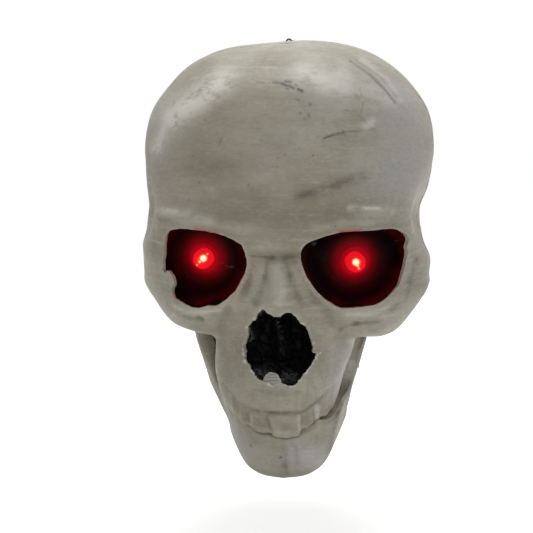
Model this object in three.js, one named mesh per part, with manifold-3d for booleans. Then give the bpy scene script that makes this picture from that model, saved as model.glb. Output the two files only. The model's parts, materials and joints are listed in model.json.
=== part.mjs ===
// A life-size Halloween skull that hangs from a wire eye at its crown: a hollow moulded head in two halves,
// lit eye sockets, a lower jaw that opens, and a neck that holds the cells and the switch.
// Millimetres, +Z up, the face looks along -Y. Left and right are as seen from the front.
import * as THREE from 'three';
import { mergeVertices } from 'three/addons/utils/BufferGeometryUtils.js';
import Module from 'manifold-3d';

const wasm = await Module();
wasm.setup();

// Walls and clearances
const gap = 0.3;
const pinGap = 0.35;
const wall = 2.2;
const linerWall = 1.5;
const rodSides = 16;

// Heights of the head above the lowest point of the chin
const level = { bite: 25, gum: 37, floor: 70, cheek: 80, arch: 103, nasion: 112, brow: 123, widest: 157,
  crown: 215 };
level.forehead = level.widest - 7;
level.nape = level.widest - 17;
const floorStep = 0.4;

// Seam between the two halves of the head, and the tabs that line them up from inside
const seam = -28;
const seamHalf = gap / 2;
const tab = { heights: [115, 150, 180], tall: 12, thick: 2.4, long: 7 };

// The head at its widest and the upper jaw at the bite: half widths, and reach to the front and to the back
const head = { half: 75, front: 88, back: 93, biteHalf: 28.5 };

// Sections of the head: half width, reach to the front and to the back, the depth of the widest place,
// and how square the curve is in front and behind
const partWay = (low, high, share) => low + (high - low) * share;
const muzzle = { middle: -56, back: -38, nape: 4 };
const sections = [
  { at: level.bite, half: head.biteHalf, front: head.front + 1.5, ...muzzle, face: 2.1 },
  { at: level.gum, half: head.biteHalf + 3, front: head.front + 2.5, ...muzzle, face: 2.1 },
  { at: partWay(level.gum, level.floor, 0.4), half: head.biteHalf + 6, front: head.front, ...muzzle,
    face: 2.2 },
  { at: partWay(level.gum, level.floor, 0.75), half: head.biteHalf + 8.5, front: head.front - 2, ...muzzle,
    face: 2.3 },
  { at: level.floor - floorStep, half: head.biteHalf + 10.5, front: head.front - 2.5, ...muzzle, face: 2.3 },
  { at: level.floor, half: head.half - 23, front: head.front - 2.5, middle: -48, back: head.back - 47,
    face: 1.9, nape: 2.8 },
  { at: partWay(level.floor, level.cheek, 0.2), half: head.half - 17, front: head.front - 2.5, middle: -47,
    back: head.back - 39, face: 1.9, nape: 2.6 },
  { at: level.cheek, half: head.half - 9.5, front: head.front - 2.5, middle: -42, back: head.back - 27,
    face: 2.05, nape: 2.4 },
  { at: partWay(level.cheek, level.arch, 0.5), half: head.half - 2, front: head.front - 2, middle: -34,
    back: head.back - 16, face: 2.3, nape: 2.3 },
  { at: level.arch, half: head.half - 2, front: head.front - 2, middle: -26, back: head.back - 9, face: 2.5,
    nape: 2.25 },
  { at: partWay(level.nasion, level.brow, 0.35), half: head.half - 3, front: head.front - 1, middle: -18,
    back: head.back - 4, face: 2.6, nape: 2.2 },
  { at: partWay(level.brow, level.nape, 0.35), half: head.half - 3.5, front: head.front + 1, middle: -12,
    back: head.back - 1.5, face: 2.6, nape: 2.2 },
  { at: level.nape, half: head.half - 1.5, front: head.front + 1, middle: -10, back: head.back, face: 2.5,
    nape: 2.2 },
  { at: level.widest, half: head.half, front: head.front, middle: -8, back: head.back, face: 2.4, nape: 2.2 },
];
const dome = { crownPower: 2.25, foreheadPower: 2.3, napePower: 2.2 };
const biteRise = 12;
const biteRun = 28;
const palateVault = 16;
const baseRise = { by: 8, from: -60, to: -40, fade: 35 };
const base = level.floor + baseRise.by;

// Swellings and hollows of the face: place across and up, spread across and up, and how far the skin moves
// outwards and forwards. Each is mirrored
const swellings = [
  { x: 22, z: level.brow + 2, wide: 11, tall: 5, out: 0, ahead: 2.5 },
  { x: 43, z: level.brow + 5, wide: 14, tall: 5, out: 0, ahead: 4 },
  { x: 60, z: level.brow - 1, wide: 7, tall: 8, out: 0.5, ahead: 4 },
  { x: 0, z: level.brow - 1, wide: 12, tall: 6, out: 0, ahead: 1 },
  { x: 0, z: level.nasion - 1, wide: 13, tall: 4, out: 0, ahead: -2 },
  { x: 0, z: level.arch - 5, wide: 7, tall: 11, out: 0, ahead: 4 },
  { x: 0, z: level.cheek + 7, wide: 8, tall: 7, out: 0, ahead: 4 },
  { x: 16, z: level.arch - 6, wide: 6, tall: 10, out: 0, ahead: -3 },
  { x: 38, z: level.arch + 1, wide: 22, tall: 15, out: 0, ahead: -5 },
  { x: 50, z: level.cheek + 3, wide: 13, tall: 8, out: 1.5, ahead: 3 },
  { x: 30, z: level.floor - 4, wide: 9, tall: 11, out: 0, ahead: -4.5 },
  { x: 19, z: level.gum + 9, wide: 4.5, tall: 11, out: 0.5, ahead: 1.2 },
  { x: 32, z: level.widest + 8, wide: 20, tall: 18, out: 0, ahead: 2 },
];
const templeHollow = { y: -42, z: level.brow + 5, deep: 14, tall: 16, in: 3.5 };
const archSwell = { y: -18, z: level.arch, deep: 26, tall: 6, out: 1.5 };
const faceFade = { from: -15, to: -38 };
// The head is not quite even: its right half is a little fuller, and its temples lean to the left
const lopsided = { out: 0.9, sway: 3, y: -20, z: level.brow - 3, deep: 40, tall: 22 };

// Upper teeth: where the grooves between them lie across the mouth, and their relief
const tooth = { edges: [0, 9, 15.5, 20.5, 24], groove: 1.4, depth: 1.1, proud: 1, gumFade: 2.5 };

// Openings cut by hand in the face, as points across and up
const leftEyeOutline = [[-54.5, 122], [-43.5, 122], [-30, 120.6], [-20.5, 117.2], [-16.4, 109.5],
  [-17.6, 100.5], [-23, 91.5], [-31.5, 85.2], [-42, 83.8], [-53, 86.6], [-56.2, 92], [-58.6, 98.4],
  [-62.2, 101], [-60.8, 113]];
const rightEyeOutline = [[9.7, 111.5], [13.5, 117.4], [23.3, 120.8], [38.8, 122.4], [52, 122.4],
  [60, 118.6], [61.4, 108], [57.8, 95.5], [50.5, 88], [39, 84.8], [29, 85], [20.3, 89.6], [14, 99.5]];
const noseOutline = [[-9, 85.5], [-3.5, 82.9], [0, 83], [4, 85], [9, 82.2], [13.4, 75.8], [16.4, 65.2],
  [12.4, 55.2], [5.2, 49.2], [-4.4, 50.4], [-12, 53.2], [-17.4, 63], [-17.2, 71], [-12, 81]];
const outlineSteps = 24;
const openingBack = -40;

// Lamp holders, lamps and their leads
const lampSides = 20;
const lamp = { radius: 5, flange: 6, flangeThick: 1.2, ahead: 3.4, back: 5.3, lensRows: 6, turnOut: 14,
  turnDown: 9 };
const lampDepth = 39 - head.front;
const lampPlaces = { left: [-40, lampDepth, 105.6], right: [35, lampDepth, 104.6] };
const holder = { wall: 1.2, lip: 8.2, lipThick: 1.2 };
const cupFloor = { radius: 12.5, share: [0, 0.35, 0.75] };
const rimLap = 1.07;
const noseCup = { deep: 24, waist: 0.95, back: 0.62 };
const septum = { thick: 2.4, ahead: 15, low: 54, high: 79 };
const lead = { radius: 1.1, arcSteps: 4, steps: 14, straight: 10, inset: 4, stagger: 5,
  turns: [[24, -14, 99], [14, -2, 84]], low: [9.5, 70] };

// Lower jaw along its curve, as a share of the way from the chin to the back edge: across, lower edge, height
// above the bite, slant outwards, flange width
const jawEnds = { chin: 1.5 - head.front, back: -1 };
const jawStations = [
  { share: 0, x: 0, low: 1, top: 0, lean: 0, flange: 9 },
  { share: 0.013, x: 9.5, low: 3.2, top: 0, lean: 0, flange: 9 },
  { share: 0.066, x: 18, low: 5.8, top: 0, lean: 0.05, flange: 8.5 },
  { share: 0.156, x: 24.4, low: 8, top: 0, lean: 0.14, flange: 8 },
  { share: 0.263, x: 28.2, low: 11.8, top: 0, lean: 0.2, flange: 7 },
  { share: 0.383, x: 30.4, low: 16.8, top: 0, lean: 0.2, flange: 6.2 },
  { share: 0.497, x: 32.6, low: 22.5, top: 1, lean: 0.22, flange: 5 },
  { share: 0.569, x: 34, low: 26.5, top: 13, lean: 0.28, flange: 4.5 },
  { share: 0.641, x: 34.8, low: 29, top: 38, lean: 0.31, flange: 4.4 },
  { share: 0.772, x: 35, low: 31.5, top: 46, lean: 0.31, flange: 4.4 },
  { share: 0.892, x: 35, low: 36, top: 59, lean: 0.31, flange: 4.4 },
  { share: 0.964, x: 35, low: 46, top: 57, lean: 0.31, flange: 4.4 },
  { share: 1, x: 35, low: 58, top: 50, lean: 0.31, flange: 4.4 },
];
// The slant eases above a height, so that the upright sides come straight between the lugs
const flare = { from: 31, top: 62, ease: 0.35 };
// The jaw sits askew: its chin to the right and its sides to the left, but true where it enters the head
const jawAskew = [{ share: 0, by: 2 }, { share: 0.15, by: 1.5 }, { share: 0.293, by: 0.9 },
  { share: 0.437, by: 0.8 }, { share: 0.557, by: -1.8 }, { share: 0.653, by: -3.5 }];
const askewFade = { low: level.floor - 6, high: level.floor + 14 };
const jawWall = 3.2;
const jawSteps = 48;
const biteGap = 0.9;
const chinShare = 0.25;
// Outer face of the jaw from its lower to its upper edge: depth, added depth at the chin, share of the height
const jawFace = [[2.2, 0, 0], [0.6, 0, 0.09], [0, -0.8, 0.22], [0.2, 0, 0.4], [0, 1.6, 0.68], [0.6, 0, 0.92],
  [1.8, 0, 1]];
const jawLip = { over: 0.8, low: 1.2, top: 0.4, fillet: 1 };

// Jaw hinge, across the head behind the cheekbones
const hinge = { y: -8, up: 12, bossRadius: 7, bossIn: 43.2, bossOut: 51 };
const hingeHeight = base + hinge.up;
const hingeScrew = { shank: 2.2, head: 4.6, headThick: 2.4, past: 1, slotDeep: 1, slotHalf: 0.5 };
const washer = { thick: 1.5, radius: 6.5 };
const lug = { thick: 4, halfDeep: 8, over: 7 };
const ramusSlot = { inside: 38.6, outside: 51, front: -40, back: 9 };

// Neck under the head, its waist between the sides of the jaw, and its cell door
const neck = { bottom: 36, front: -33, back: 52, halfTop: 42, halfBottom: 38, waist: 27, shoulder: 15,
  wall: 2.2, base: 4, power: 6, steps: 40 };
const neckTop = base - floorStep - gap;
const neckReach = 14;
const post = { radius: 4.4, bore: 3.2, hole: 1.8, places: [[18, -22.5], [30, 36]], seat: neckTop - 10.3 };
const postScrew = { head: 2.8, headThick: 2.4, shank: 1.45, length: 16 };
const shellBoss = { radius: 4.2, tall: 13 };
const leadHole = { half: 17, front: -10, back: 26 };

// Two small cells side by side, their box, contacts and sliding door
const cell = { radius: 5.25, length: 44.5, nub: 1.9, nubLong: 1, apart: 11.4 };
const contact = { thick: 0.6, room: 1.6, half: 1 };
const box = { wall: 1.5, front: -13, flange: 3 };
const door = { tongue: 2, tongueThick: 1, tongueUp: 1, thick: 2.5, front: -16 };
const grip = { count: 4, pitch: 3, half: 0.8, deep: 0.7, halfWide: 7, back: 8 };

// Board, resistors and switch
const board = { half: 13, deep: 20, thick: 1.6, standoff: 3, edge: 3 };
const boardScrew = { head: 2.2, headThick: 1.3, shank: 0.9, length: 4.5 };
const resistor = { radius: 1.2, length: 7, x: 4 };
const slide = { x: 19, up: 18, body: [13, 6, 6], knob: [3.6, 3.4], root: 2, proud: 2.4, travel: 4 };

// Hanging eye of bent wire through the crown, above the middle of the weight
const eye = { y: -10, wire: 0.6, ring: 1.9, up: 0.7, foot: 2.2, footThick: 1.2, washer: 5, washerThick: 1.2,
  hole: 1, pad: 3, wireSides: 8, ringSteps: 20 };

// Finishes
const finishes = {
  bone: { color: 0x9c968a, roughness: 0.62, metalness: 0 },
  black: { color: 0x0c0b0b, roughness: 0.25, metalness: 0 },
  darkPlastic: { color: 0x1b1b1c, roughness: 0.5, metalness: 0 },
  redLens: { color: 0xff2a18, roughness: 0.12, metalness: 0 },
  steel: { color: 0x8d8f92, roughness: 0.35, metalness: 1 },
  board: { color: 0x2c5a35, roughness: 0.5, metalness: 0 },
  cellWrap: { color: 0x4b5460, roughness: 0.35, metalness: 0.3 },
  insulation: { color: 0x7d1512, roughness: 0.5, metalness: 0 },
};

const skull = new THREE.Group();

function piece(name, shape, finish) {
  const geometry = shape.isBufferGeometry ? shape : surfaceOf(shape);
  geometry.computeVertexNormals();
  const mesh = new THREE.Mesh(geometry, new THREE.MeshStandardMaterial(finishes[finish]));
  mesh.name = name;
  skull.add(mesh);
  return mesh;
}

function solid(geometry) {
  const bare = geometry.clone();
  bare.deleteAttribute('normal');
  bare.deleteAttribute('uv');
  const welded = mergeVertices(bare);
  const corners = [];
  for (let i = 0; i < welded.index.count; i += 3) {
    const [a, b, c] = [0, 1, 2].map((step) => welded.index.getX(i + step));
    if (a !== b && b !== c && c !== a) corners.push(a, b, c);
  }
  const vertProperties = new Float32Array(welded.attributes.position.array);
  return new wasm.Manifold(new wasm.Mesh({ numProp: 3, vertProperties, triVerts: new Uint32Array(corners) }));
}

function surfaceOf(manifold) {
  const mesh = manifold.getMesh();
  const geometry = new THREE.BufferGeometry();
  geometry.setAttribute('position', new THREE.BufferAttribute(mesh.vertProperties, 3));
  geometry.setIndex(new THREE.BufferAttribute(mesh.triVerts, 1));
  return geometry;
}

// Closed skin over a row of rings: capped at both ends by a point each, or joined from last to first
function loft(rings, caps) {
  const count = rings[0].length;
  const points = rings.flat();
  const faces = [];
  const bands = caps ? rings.length - 1 : rings.length;
  for (let band = 0; band < bands; band += 1) {
    const next = (band + 1) % rings.length;
    for (let i = 0; i < count; i += 1) {
      const j = (i + 1) % count;
      const [a, b, c, d] = [band * count + i, band * count + j, next * count + j, next * count + i];
      faces.push(a, b, c, a, c, d);
    }
  }
  if (caps) {
    const last = (rings.length - 1) * count;
    points.push(caps[0], caps[1]);
    for (let i = 0; i < count; i += 1) {
      const j = (i + 1) % count;
      faces.push(points.length - 2, j, i, points.length - 1, last + i, last + j);
    }
  }
  const geometry = new THREE.BufferGeometry().setFromPoints(points);
  geometry.setIndex(faces);
  if (volumeOf(points, faces) < 0) geometry.setIndex(faces.reverse());
  return geometry;
}

function volumeOf(points, faces) {
  let volume = 0;
  const cross = new THREE.Vector3();
  for (let i = 0; i < faces.length; i += 3) {
    cross.crossVectors(points[faces[i + 1]], points[faces[i + 2]]);
    volume += points[faces[i]].dot(cross) / 6;
  }
  return volume;
}

function block(x0, x1, y0, y1, z0, z1) {
  const geometry = new THREE.BoxGeometry(x1 - x0, y1 - y0, z1 - z0);
  return geometry.translate((x0 + x1) / 2, (y0 + y1) / 2, (z0 + z1) / 2);
}

const solidBlock = (...corners) => solid(block(...corners));

const at = (x, y, z) => new THREE.Vector3(x, y, z);

function rod(radius, from, to) {
  const span = new THREE.Vector3().subVectors(to, from);
  const geometry = new THREE.CylinderGeometry(radius, radius, span.length(), rodSides);
  const turn = new THREE.Quaternion().setFromUnitVectors(at(0, 1, 0), span.normalize());
  geometry.applyQuaternion(turn);
  return geometry.translate(...at(0, 0, 0).addVectors(from, to).divideScalar(2).toArray());
}

const upright = (radius, x, y, low, high) => solid(rod(radius, at(x, y, low), at(x, y, high)));
const across = (radius, x0, x1, y, z) => solid(rod(radius, at(x0, y, z), at(x1, y, z)));

// Two places on one side of the head, in rising order
const between = (side, a, b) => [side * a, side * b].sort((low, high) => low - high);

function spread(from, to, count) {
  return Array.from({ length: count }, (_, i) => from + ((to - from) * i) / (count - 1));
}

const smooth = (from, to, value) => THREE.MathUtils.smoothstep((value - from) / (to - from), 0, 1);
const bell = (offset, width) => Math.exp(-((offset / width) ** 2));

// Value of one field of a table at a place along it, on a curve that never overshoots its points
function along(table, key, field, place) {
  const last = table.length - 1;
  if (place <= table[0][key]) return table[0][field];
  if (place >= table[last][key]) return table[last][field];
  let i = 0;
  while (place > table[i + 1][key]) i += 1;
  const slope = (k) => (table[k + 1][field] - table[k][field]) / (table[k + 1][key] - table[k][key]);
  const tangent = (k) => {
    if (k === 0 || k === last) return slope(Math.min(k, last - 1));
    const [before, after] = [slope(k - 1), slope(k)];
    return before * after <= 0 ? 0 : (2 * before * after) / (before + after);
  };
  const run = table[i + 1][key] - table[i][key];
  const t = (place - table[i][key]) / run;
  const [t2, t3] = [t * t, t * t * t];
  return (2 * t3 - 3 * t2 + 1) * table[i][field] + (t3 - 2 * t2 + t) * run * tangent(i)
    + (3 * t2 - 2 * t3) * table[i + 1][field] + (t3 - t2) * run * tangent(i + 1);
}

// Head skin, drawn in by an inset for the inside of the wall
function reach(field, from, power, height, inset) {
  if (height > from) {
    const rise = Math.min(1, (height - from) / (level.crown - inset - from));
    return (along(sections, 'at', field, from) - inset) * (1 - rise ** power) ** (1 / power);
  }
  const heights = [height - inset, height, height + inset].map((place) => Math.min(place, from));
  const values = heights.map((place) => along(sections, 'at', field, place));
  return (inset < 0 ? Math.max(...values) : Math.min(...values)) - inset;
}

function skin(height, turn, inset) {
  const half = reach('half', level.widest, dome.crownPower, height, inset);
  const front = reach('front', level.forehead, dome.foreheadPower, height, inset);
  const back = reach('back', level.nape, dome.napePower, height, inset);
  const middle = along(sections, 'at', 'middle', height) * smooth(level.crown, level.widest, height);
  const ahead = Math.sin(turn) >= 0;
  const power = 2 / along(sections, 'at', ahead ? 'face' : 'nape', height);
  const side = Math.cos(turn);
  const point = at(0, 0, height);
  point.x = half * Math.sign(side) * Math.abs(side) ** power;
  point.y = middle + (ahead ? -(middle + front) : back - middle) * Math.abs(Math.sin(turn)) ** power;
  return shaped(point, inset);
}

function shaped(point, inset) {
  const [x, y, z] = point.toArray();
  const side = Math.sign(x);
  const face = smooth(faceFade.from, faceFade.to, y);
  for (const swell of swellings) {
    const weight = face * bell(Math.abs(x) - swell.x, swell.wide) * bell(z - swell.z, swell.tall);
    point.x += side * weight * swell.out;
    point.y -= weight * swell.ahead;
  }
  const lateral = Math.min(1, Math.abs(x) / sections[0].half) ** 2;
  point.x -= side * lateral * templeHollow.in * bell(y - templeHollow.y, templeHollow.deep)
    * bell(z - templeHollow.z, templeHollow.tall);
  point.x += side * lateral * archSwell.out * bell(y - archSwell.y, archSwell.deep)
    * bell(z - archSwell.z, archSwell.tall);
  const sway = lopsided.sway * bell(y - lopsided.y, lopsided.deep) * bell(z - lopsided.z, lopsided.tall);
  point.x += lateral * (lopsided.out - sway);
  if (z < level.floor + inset) {
    if (!inset) point.y -= face * toothRelief(x, z);
    point.z += biteLift(y) * (1 - smooth(level.bite, level.floor, z));
    point.z += baseLift(y) * smooth(level.gum, level.floor + inset - floorStep, z);
  } else {
    point.z += baseLift(y) * (1 - smooth(level.floor + inset, level.floor + baseRise.fade, z));
  }
  return point;
}

const baseLift = (y) => baseRise.by * smooth(baseRise.from, baseRise.to, y);

const biteLift = (y) => biteRise * smooth(0, biteRun, y + sections[0].front);

function toothRelief(x, z) {
  const grooves = tooth.edges.map((edge) => bell(Math.abs(x) - edge, tooth.groove));
  const below = smooth(level.gum + tooth.gumFade, level.gum - tooth.gumFade, z);
  return below * (tooth.proud - tooth.depth * Math.max(...grooves));
}

// Rows of the head from the bite to the crown
function headRows(inset, counts) {
  const rows = spread(level.bite + inset, level.floor - floorStep + inset, counts.muzzle);
  rows.push(...spread(level.floor + inset, level.widest, counts.face));
  for (let i = 1; i < counts.dome; i += 1) {
    const lift = Math.sin((Math.PI / 2) * (i / counts.dome)) ** (2 / dome.crownPower);
    rows.push(level.widest + (level.crown - inset - level.widest) * lift);
  }
  return rows;
}

function headSolid(inset, counts) {
  const frontTurns = spread(0, Math.PI, counts.front + 1);
  const backTurns = spread(Math.PI, 2 * Math.PI, counts.back + 1).slice(1, -1);
  const turns = [...frontTurns, ...backTurns];
  const rings = headRows(inset, counts).map((height) => turns.map((turn) => skin(height, turn, inset)));
  const palate = at(0, muzzle.middle, level.bite + palateVault + inset);
  return solid(loft(rings, [palate, at(0, 0, level.crown - inset)]));
}

// Depth of the face at a place across and up
function faceDepth(x, z, inset) {
  let [low, high] = [0, Math.PI];
  for (let i = 0; i < 24; i += 1) {
    const middle = (low + high) / 2;
    if (skin(z, middle, inset).x > x) low = middle;
    else high = middle;
  }
  return skin(z, low, inset).y;
}

function outlinePoints(outline) {
  const curve = new THREE.CatmullRomCurve3(outline.map(([x, z]) => at(x, z, 0)), true);
  return curve.getPoints(outlineSteps).slice(0, -1).map((p) => [p.x, p.y]);
}

function middleOf(points) {
  const sum = points.reduce((total, [x, z]) => [total[0] + x, total[1] + z], [0, 0]);
  return sum.map((value) => value / points.length);
}

// Straight cutter through the face with a hand-cut outline
function faceCutter(outline) {
  const shape = new THREE.Shape(outlinePoints(outline).map(([x, z]) => new THREE.Vector2(x, z)));
  const geometry = new THREE.ExtrudeGeometry(shape, { depth: head.front, bevelEnabled: false, steps: 1 });
  return solid(geometry.rotateX(Math.PI / 2).translate(0, openingBack, 0));
}

const fineCounts = { muzzle: 10, face: 19, dome: 8, front: 36, back: 14 };
const coarseCounts = { muzzle: 5, face: 9, dome: 5, front: 18, back: 10 };
const headOuter = headSolid(0, fineCounts);
const headInner = headSolid(wall, coarseCounts);
const liningRoom = headSolid(wall + gap, coarseCounts);
const far = 4 * head.back;
const eyeHeight = crownHeight(eye.y, 0) + eye.up;
const padLow = crownHeight(eye.y, wall) - eye.pad;

function shells() {
  const hollow = headOuter.subtract(headInner);
  let front = hollow.intersect(solidBlock(-far, far, -far, seam - seamHalf, -far, far));
  let rear = hollow.intersect(solidBlock(-far, far, seam + seamHalf, far, -far, far));
  for (const outline of [leftEyeOutline, rightEyeOutline, noseOutline]) {
    front = front.subtract(faceCutter(outline));
  }
  for (const side of [-1, 1]) {
    for (const [x, y] of post.places) {
      rear = rear.add(shellBossAt(side * x, y)).subtract(shellPilot(side * x, y));
    }
    rear = rear.add(lugSolid(side)).add(seamTabs(side)).subtract(hingeBore(side));
    const slot = solidBlock(...between(side, ramusSlot.inside, ramusSlot.outside), ramusSlot.front,
      ramusSlot.back, neck.bottom, base + 3 * wall);
    front = front.subtract(slot);
    rear = rear.subtract(slot);
  }
  rear = rear.subtract(solidBlock(-leadHole.half, leadHole.half, leadHole.front, leadHole.back, neckTop,
    base + 2 * wall));
  piece('front_shell', front, 'bone');
  piece('rear_shell', rear.add(eyePad()).subtract(eyeRoom()), 'bone');
}

const shellBossAt = (x, y) => upright(shellBoss.radius, x, y, base + wall / 2, base + shellBoss.tall);
const shellPilot = (x, y) => upright(post.hole, x, y, neckTop, base + shellBoss.tall - wall);

// Flat seat inside the crown for the washer of the hanging eye
const eyePad = () => upright(eye.washer + wall, 0, eye.y, padLow, level.crown).intersect(headOuter);

// Hole and groove for the hanging eye
function eyeRoom() {
  const ringHalf = eye.ring + eye.wire + gap;
  const groove = solidBlock(-ringHalf, ringHalf, eye.y - eye.wire - gap, eye.y + eye.wire + gap,
    eyeHeight - ringHalf, level.crown + ringHalf);
  return upright(eye.hole, 0, eye.y, level.widest, level.crown).add(groove);
}

// Lug that carries the jaw, standing on the floor of the rear half beside the slot for the jaw
function lugSolid(side) {
  const outer = ramusSlot.inside - gap;
  const plate = solidBlock(...between(side, outer - lug.thick, outer), hinge.y - lug.halfDeep,
    hinge.y + lug.halfDeep, base + wall / 2, hingeHeight + lug.over);
  const face = hinge.bossIn - 2 * gap - washer.thick;
  return plate.add(across(washer.radius, side * (outer - lug.thick / 2), side * face, hinge.y, hingeHeight));
}

const hingeBore = (side) => across(hingeScrew.shank + pinGap, side * ramusSlot.inside / 2,
  side * (hinge.bossOut + gap), hinge.y, hingeHeight);

// Tabs on the rim of the rear half that line up the front half from inside
function seamTabs(side) {
  return tab.heights.map((height) => {
    const edge = seamEdge(height, side);
    const ends = between(side, edge - tab.thick, edge + wall / 2);
    const [low, high] = [height - tab.tall / 2, height + tab.tall / 2];
    const tongue = solidBlock(...ends, seam - tab.long, seam + tab.long, low, high);
    const root = solidBlock(...ends, seam + seamHalf, seam + tab.long, low, high);
    return tongue.intersect(liningRoom).add(root.intersect(headOuter));
  }).reduce((all, one) => all.add(one));
}

// Half width inside the head on one side of the seam
function seamEdge(height, side) {
  const inside = (turn) => skin(height, side > 0 ? turn : Math.PI - turn, wall);
  let [low, high] = [0, Math.PI / 2];
  for (let i = 0; i < 24; i += 1) {
    const middle = (low + high) / 2;
    if (inside(middle).y > seam) low = middle;
    else high = middle;
  }
  return Math.abs(inside(low).x);
}

// Direction that a lamp points: forwards, a little outwards and down
function lampAxis(side) {
  const [outward, down] = [lamp.turnOut, lamp.turnDown].map(THREE.MathUtils.degToRad);
  return at(side * Math.sin(outward) * Math.cos(down), -Math.cos(outward) * Math.cos(down), -Math.sin(down));
}

function lampPlace(side) {
  return at(...(side < 0 ? lampPlaces.left : lampPlaces.right));
}

// Turns a lathed shape from its own axis to the lamp's
function onLamp(geometry, side) {
  const turn = new THREE.Quaternion().setFromUnitVectors(at(0, 1, 0), lampAxis(side));
  return geometry.applyQuaternion(turn).translate(...lampPlace(side).toArray());
}

function lathe(profile) {
  const points = profile.map(([radius, height]) => new THREE.Vector2(radius, height));
  return new THREE.LatheGeometry(points, lampSides);
}

// Black cup behind an eye opening, with a round floor square to its lamp
function eyeCup(name, outline, side) {
  const points = outlinePoints(outline);
  const [mx, mz] = middleOf(points);
  const axis = lampAxis(side);
  const place = lampPlace(side);
  const right = at(1, 0, 0).addScaledVector(axis, -axis.x).normalize();
  const up = new THREE.Vector3().crossVectors(axis, right).normalize();
  const ring = (share, grow, deeper) => points.map(([x, z]) => {
    const [rx, rz] = [mx + (x - mx) * (rimLap + grow / 20), mz + (z - mz) * (rimLap + grow / 20)];
    const rim = at(rx, faceDepth(rx, rz, wall / 2), rz);
    const angle = Math.atan2(z - mz, x - mx);
    const base = place.clone().addScaledVector(right, Math.cos(angle) * (cupFloor.radius + grow))
      .addScaledVector(up, Math.sin(angle) * (cupFloor.radius + grow)).addScaledVector(axis, -deeper);
    const bulge = Math.sin(share * Math.PI / 2);
    const narrow = 1 - Math.cos(share * Math.PI / 2);
    return at(THREE.MathUtils.lerp(rim.x, base.x, narrow), THREE.MathUtils.lerp(rim.y, base.y, bulge),
      THREE.MathUtils.lerp(rim.z, base.z, narrow));
  });
  const insides = [...cupFloor.share, 1].map((share) => ring(share, 0, 0));
  const outsides = [...cupFloor.share, 1].map((share) => ring(share, linerWall, linerWall));
  const rings = [...outsides.reverse(), ...insides];
  const caps = [place.clone().addScaledVector(axis, -linerWall), place.clone()];
  const bore = solid(onLamp(lathe([[0, -lamp.back], [boreRadius, -lamp.back], [boreRadius, lamp.back],
    [0, lamp.back]]), side));
  piece(name, solid(loft(rings, caps)).intersect(liningRoom).subtract(bore), 'black');
}

const sleeveInside = lamp.radius + gap;
const sleeveOutside = sleeveInside + holder.wall;
const boreRadius = sleeveOutside + gap;

// Ring that holds a lamp in the floor of its cup
function lampHolder(name, side) {
  const lipTop = gap + holder.lipThick;
  const profile = [[sleeveInside, -lamp.back], [sleeveOutside, -lamp.back], [sleeveOutside, gap],
    [holder.lip, gap], [holder.lip, lipTop], [sleeveInside, lipTop], [sleeveInside, -lamp.back]];
  piece(name, onLamp(lathe(profile), side), 'darkPlastic');
}

function redLamp(name, side) {
  const seat = -lamp.back - gap;
  const lens = spread(0, Math.PI / 2, lamp.lensRows).slice(0, -1).map((turn) => [lamp.radius * Math.cos(turn),
    lamp.ahead + lamp.radius * Math.sin(turn)]);
  const profile = [[0, seat - lamp.flangeThick], [lamp.flange, seat - lamp.flangeThick], [lamp.flange, seat],
    [lamp.radius, seat], ...lens, [0, lamp.ahead + lamp.radius]];
  piece(name, onLamp(lathe(profile), side), 'redLens');
}

// Twin lead from a lamp back and down through the floor of the head to the board
function lampLead(name, side) {
  const start = lampPlace(side).addScaledVector(lampAxis(side), -lamp.back - 2 * gap - lamp.flangeThick);
  const outOfLamp = start.clone().addScaledVector(lampAxis(side), -lead.straight);
  const end = at(side * (board.half - lead.inset), boardMiddle - side * lead.stagger, boardTop + gap);
  const above = at(side * lead.low[0], end.y, lead.low[1]);
  const turns = lead.turns.map(([x, y, z]) => at(side * x, y, z));
  const overEnd = end.clone().add(at(0, 0, lead.stagger));
  const route = new THREE.CatmullRomCurve3([start, outOfLamp, ...turns, above, overEnd, end]);
  const section = new THREE.Shape().absarc(0, 0, lead.radius, 0, 2 * Math.PI);
  piece(name, new THREE.ExtrudeGeometry(section, { steps: lead.steps, curveSegments: lead.arcSteps,
    bevelEnabled: false, extrudePath: route }), 'insulation');
}

// Black liner behind the nose opening, with the bone between the nostrils
function noseLiner() {
  const points = outlinePoints(noseOutline);
  const [mx, mz] = middleOf(points);
  const ring = (scale, deep, flat) => points.map(([x, z]) => {
    const [rx, rz] = [mx + (x - mx) * scale, mz + (z - mz) * scale];
    const depth = faceDepth(rx, rz, wall / 2);
    return at(rx, flat ? noseBack + deep : depth + deep, rz);
  });
  const noseBack = faceDepth(mx, mz, wall / 2) + noseCup.deep;
  const thick = linerWall / (points[0][1] - mz);
  const halfDeep = noseCup.deep / 2;
  const rings = [ring(noseCup.back + thick, linerWall, true), ring(noseCup.waist + thick, halfDeep, false),
    ring(rimLap + thick, 0, false), ring(rimLap, 0, false), ring(noseCup.waist, halfDeep, false),
    ring(noseCup.back, 0, true)];
  const cup = solid(loft(rings, [at(mx, noseBack + linerWall, mz), at(mx, noseBack, mz)]));
  const plate = solidBlock(mx - septum.thick / 2, mx + septum.thick / 2, noseBack - septum.ahead,
    noseBack + linerWall / 2, septum.low, septum.high);
  piece('nose_liner', cup.add(plate).intersect(liningRoom), 'black');
}

// One side of the jaw's curve, mirrored about the chin
function jawPlace(share) {
  const side = share < 0 ? -1 : 1;
  const place = Math.abs(share) * (jawStations.length - 1);
  const row = jawStations.map((station, index) => ({ ...station, index }));
  const value = (field) => along(row, 'index', field, place);
  const base = at(side * value('x'), partWay(jawEnds.chin, jawEnds.back, value('share')), 0);
  const top = level.bite + biteLift(base.y) - biteGap + value('top');
  return { base, low: value('low'), top, lean: value('lean'), flange: value('flange'), side };
}

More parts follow.
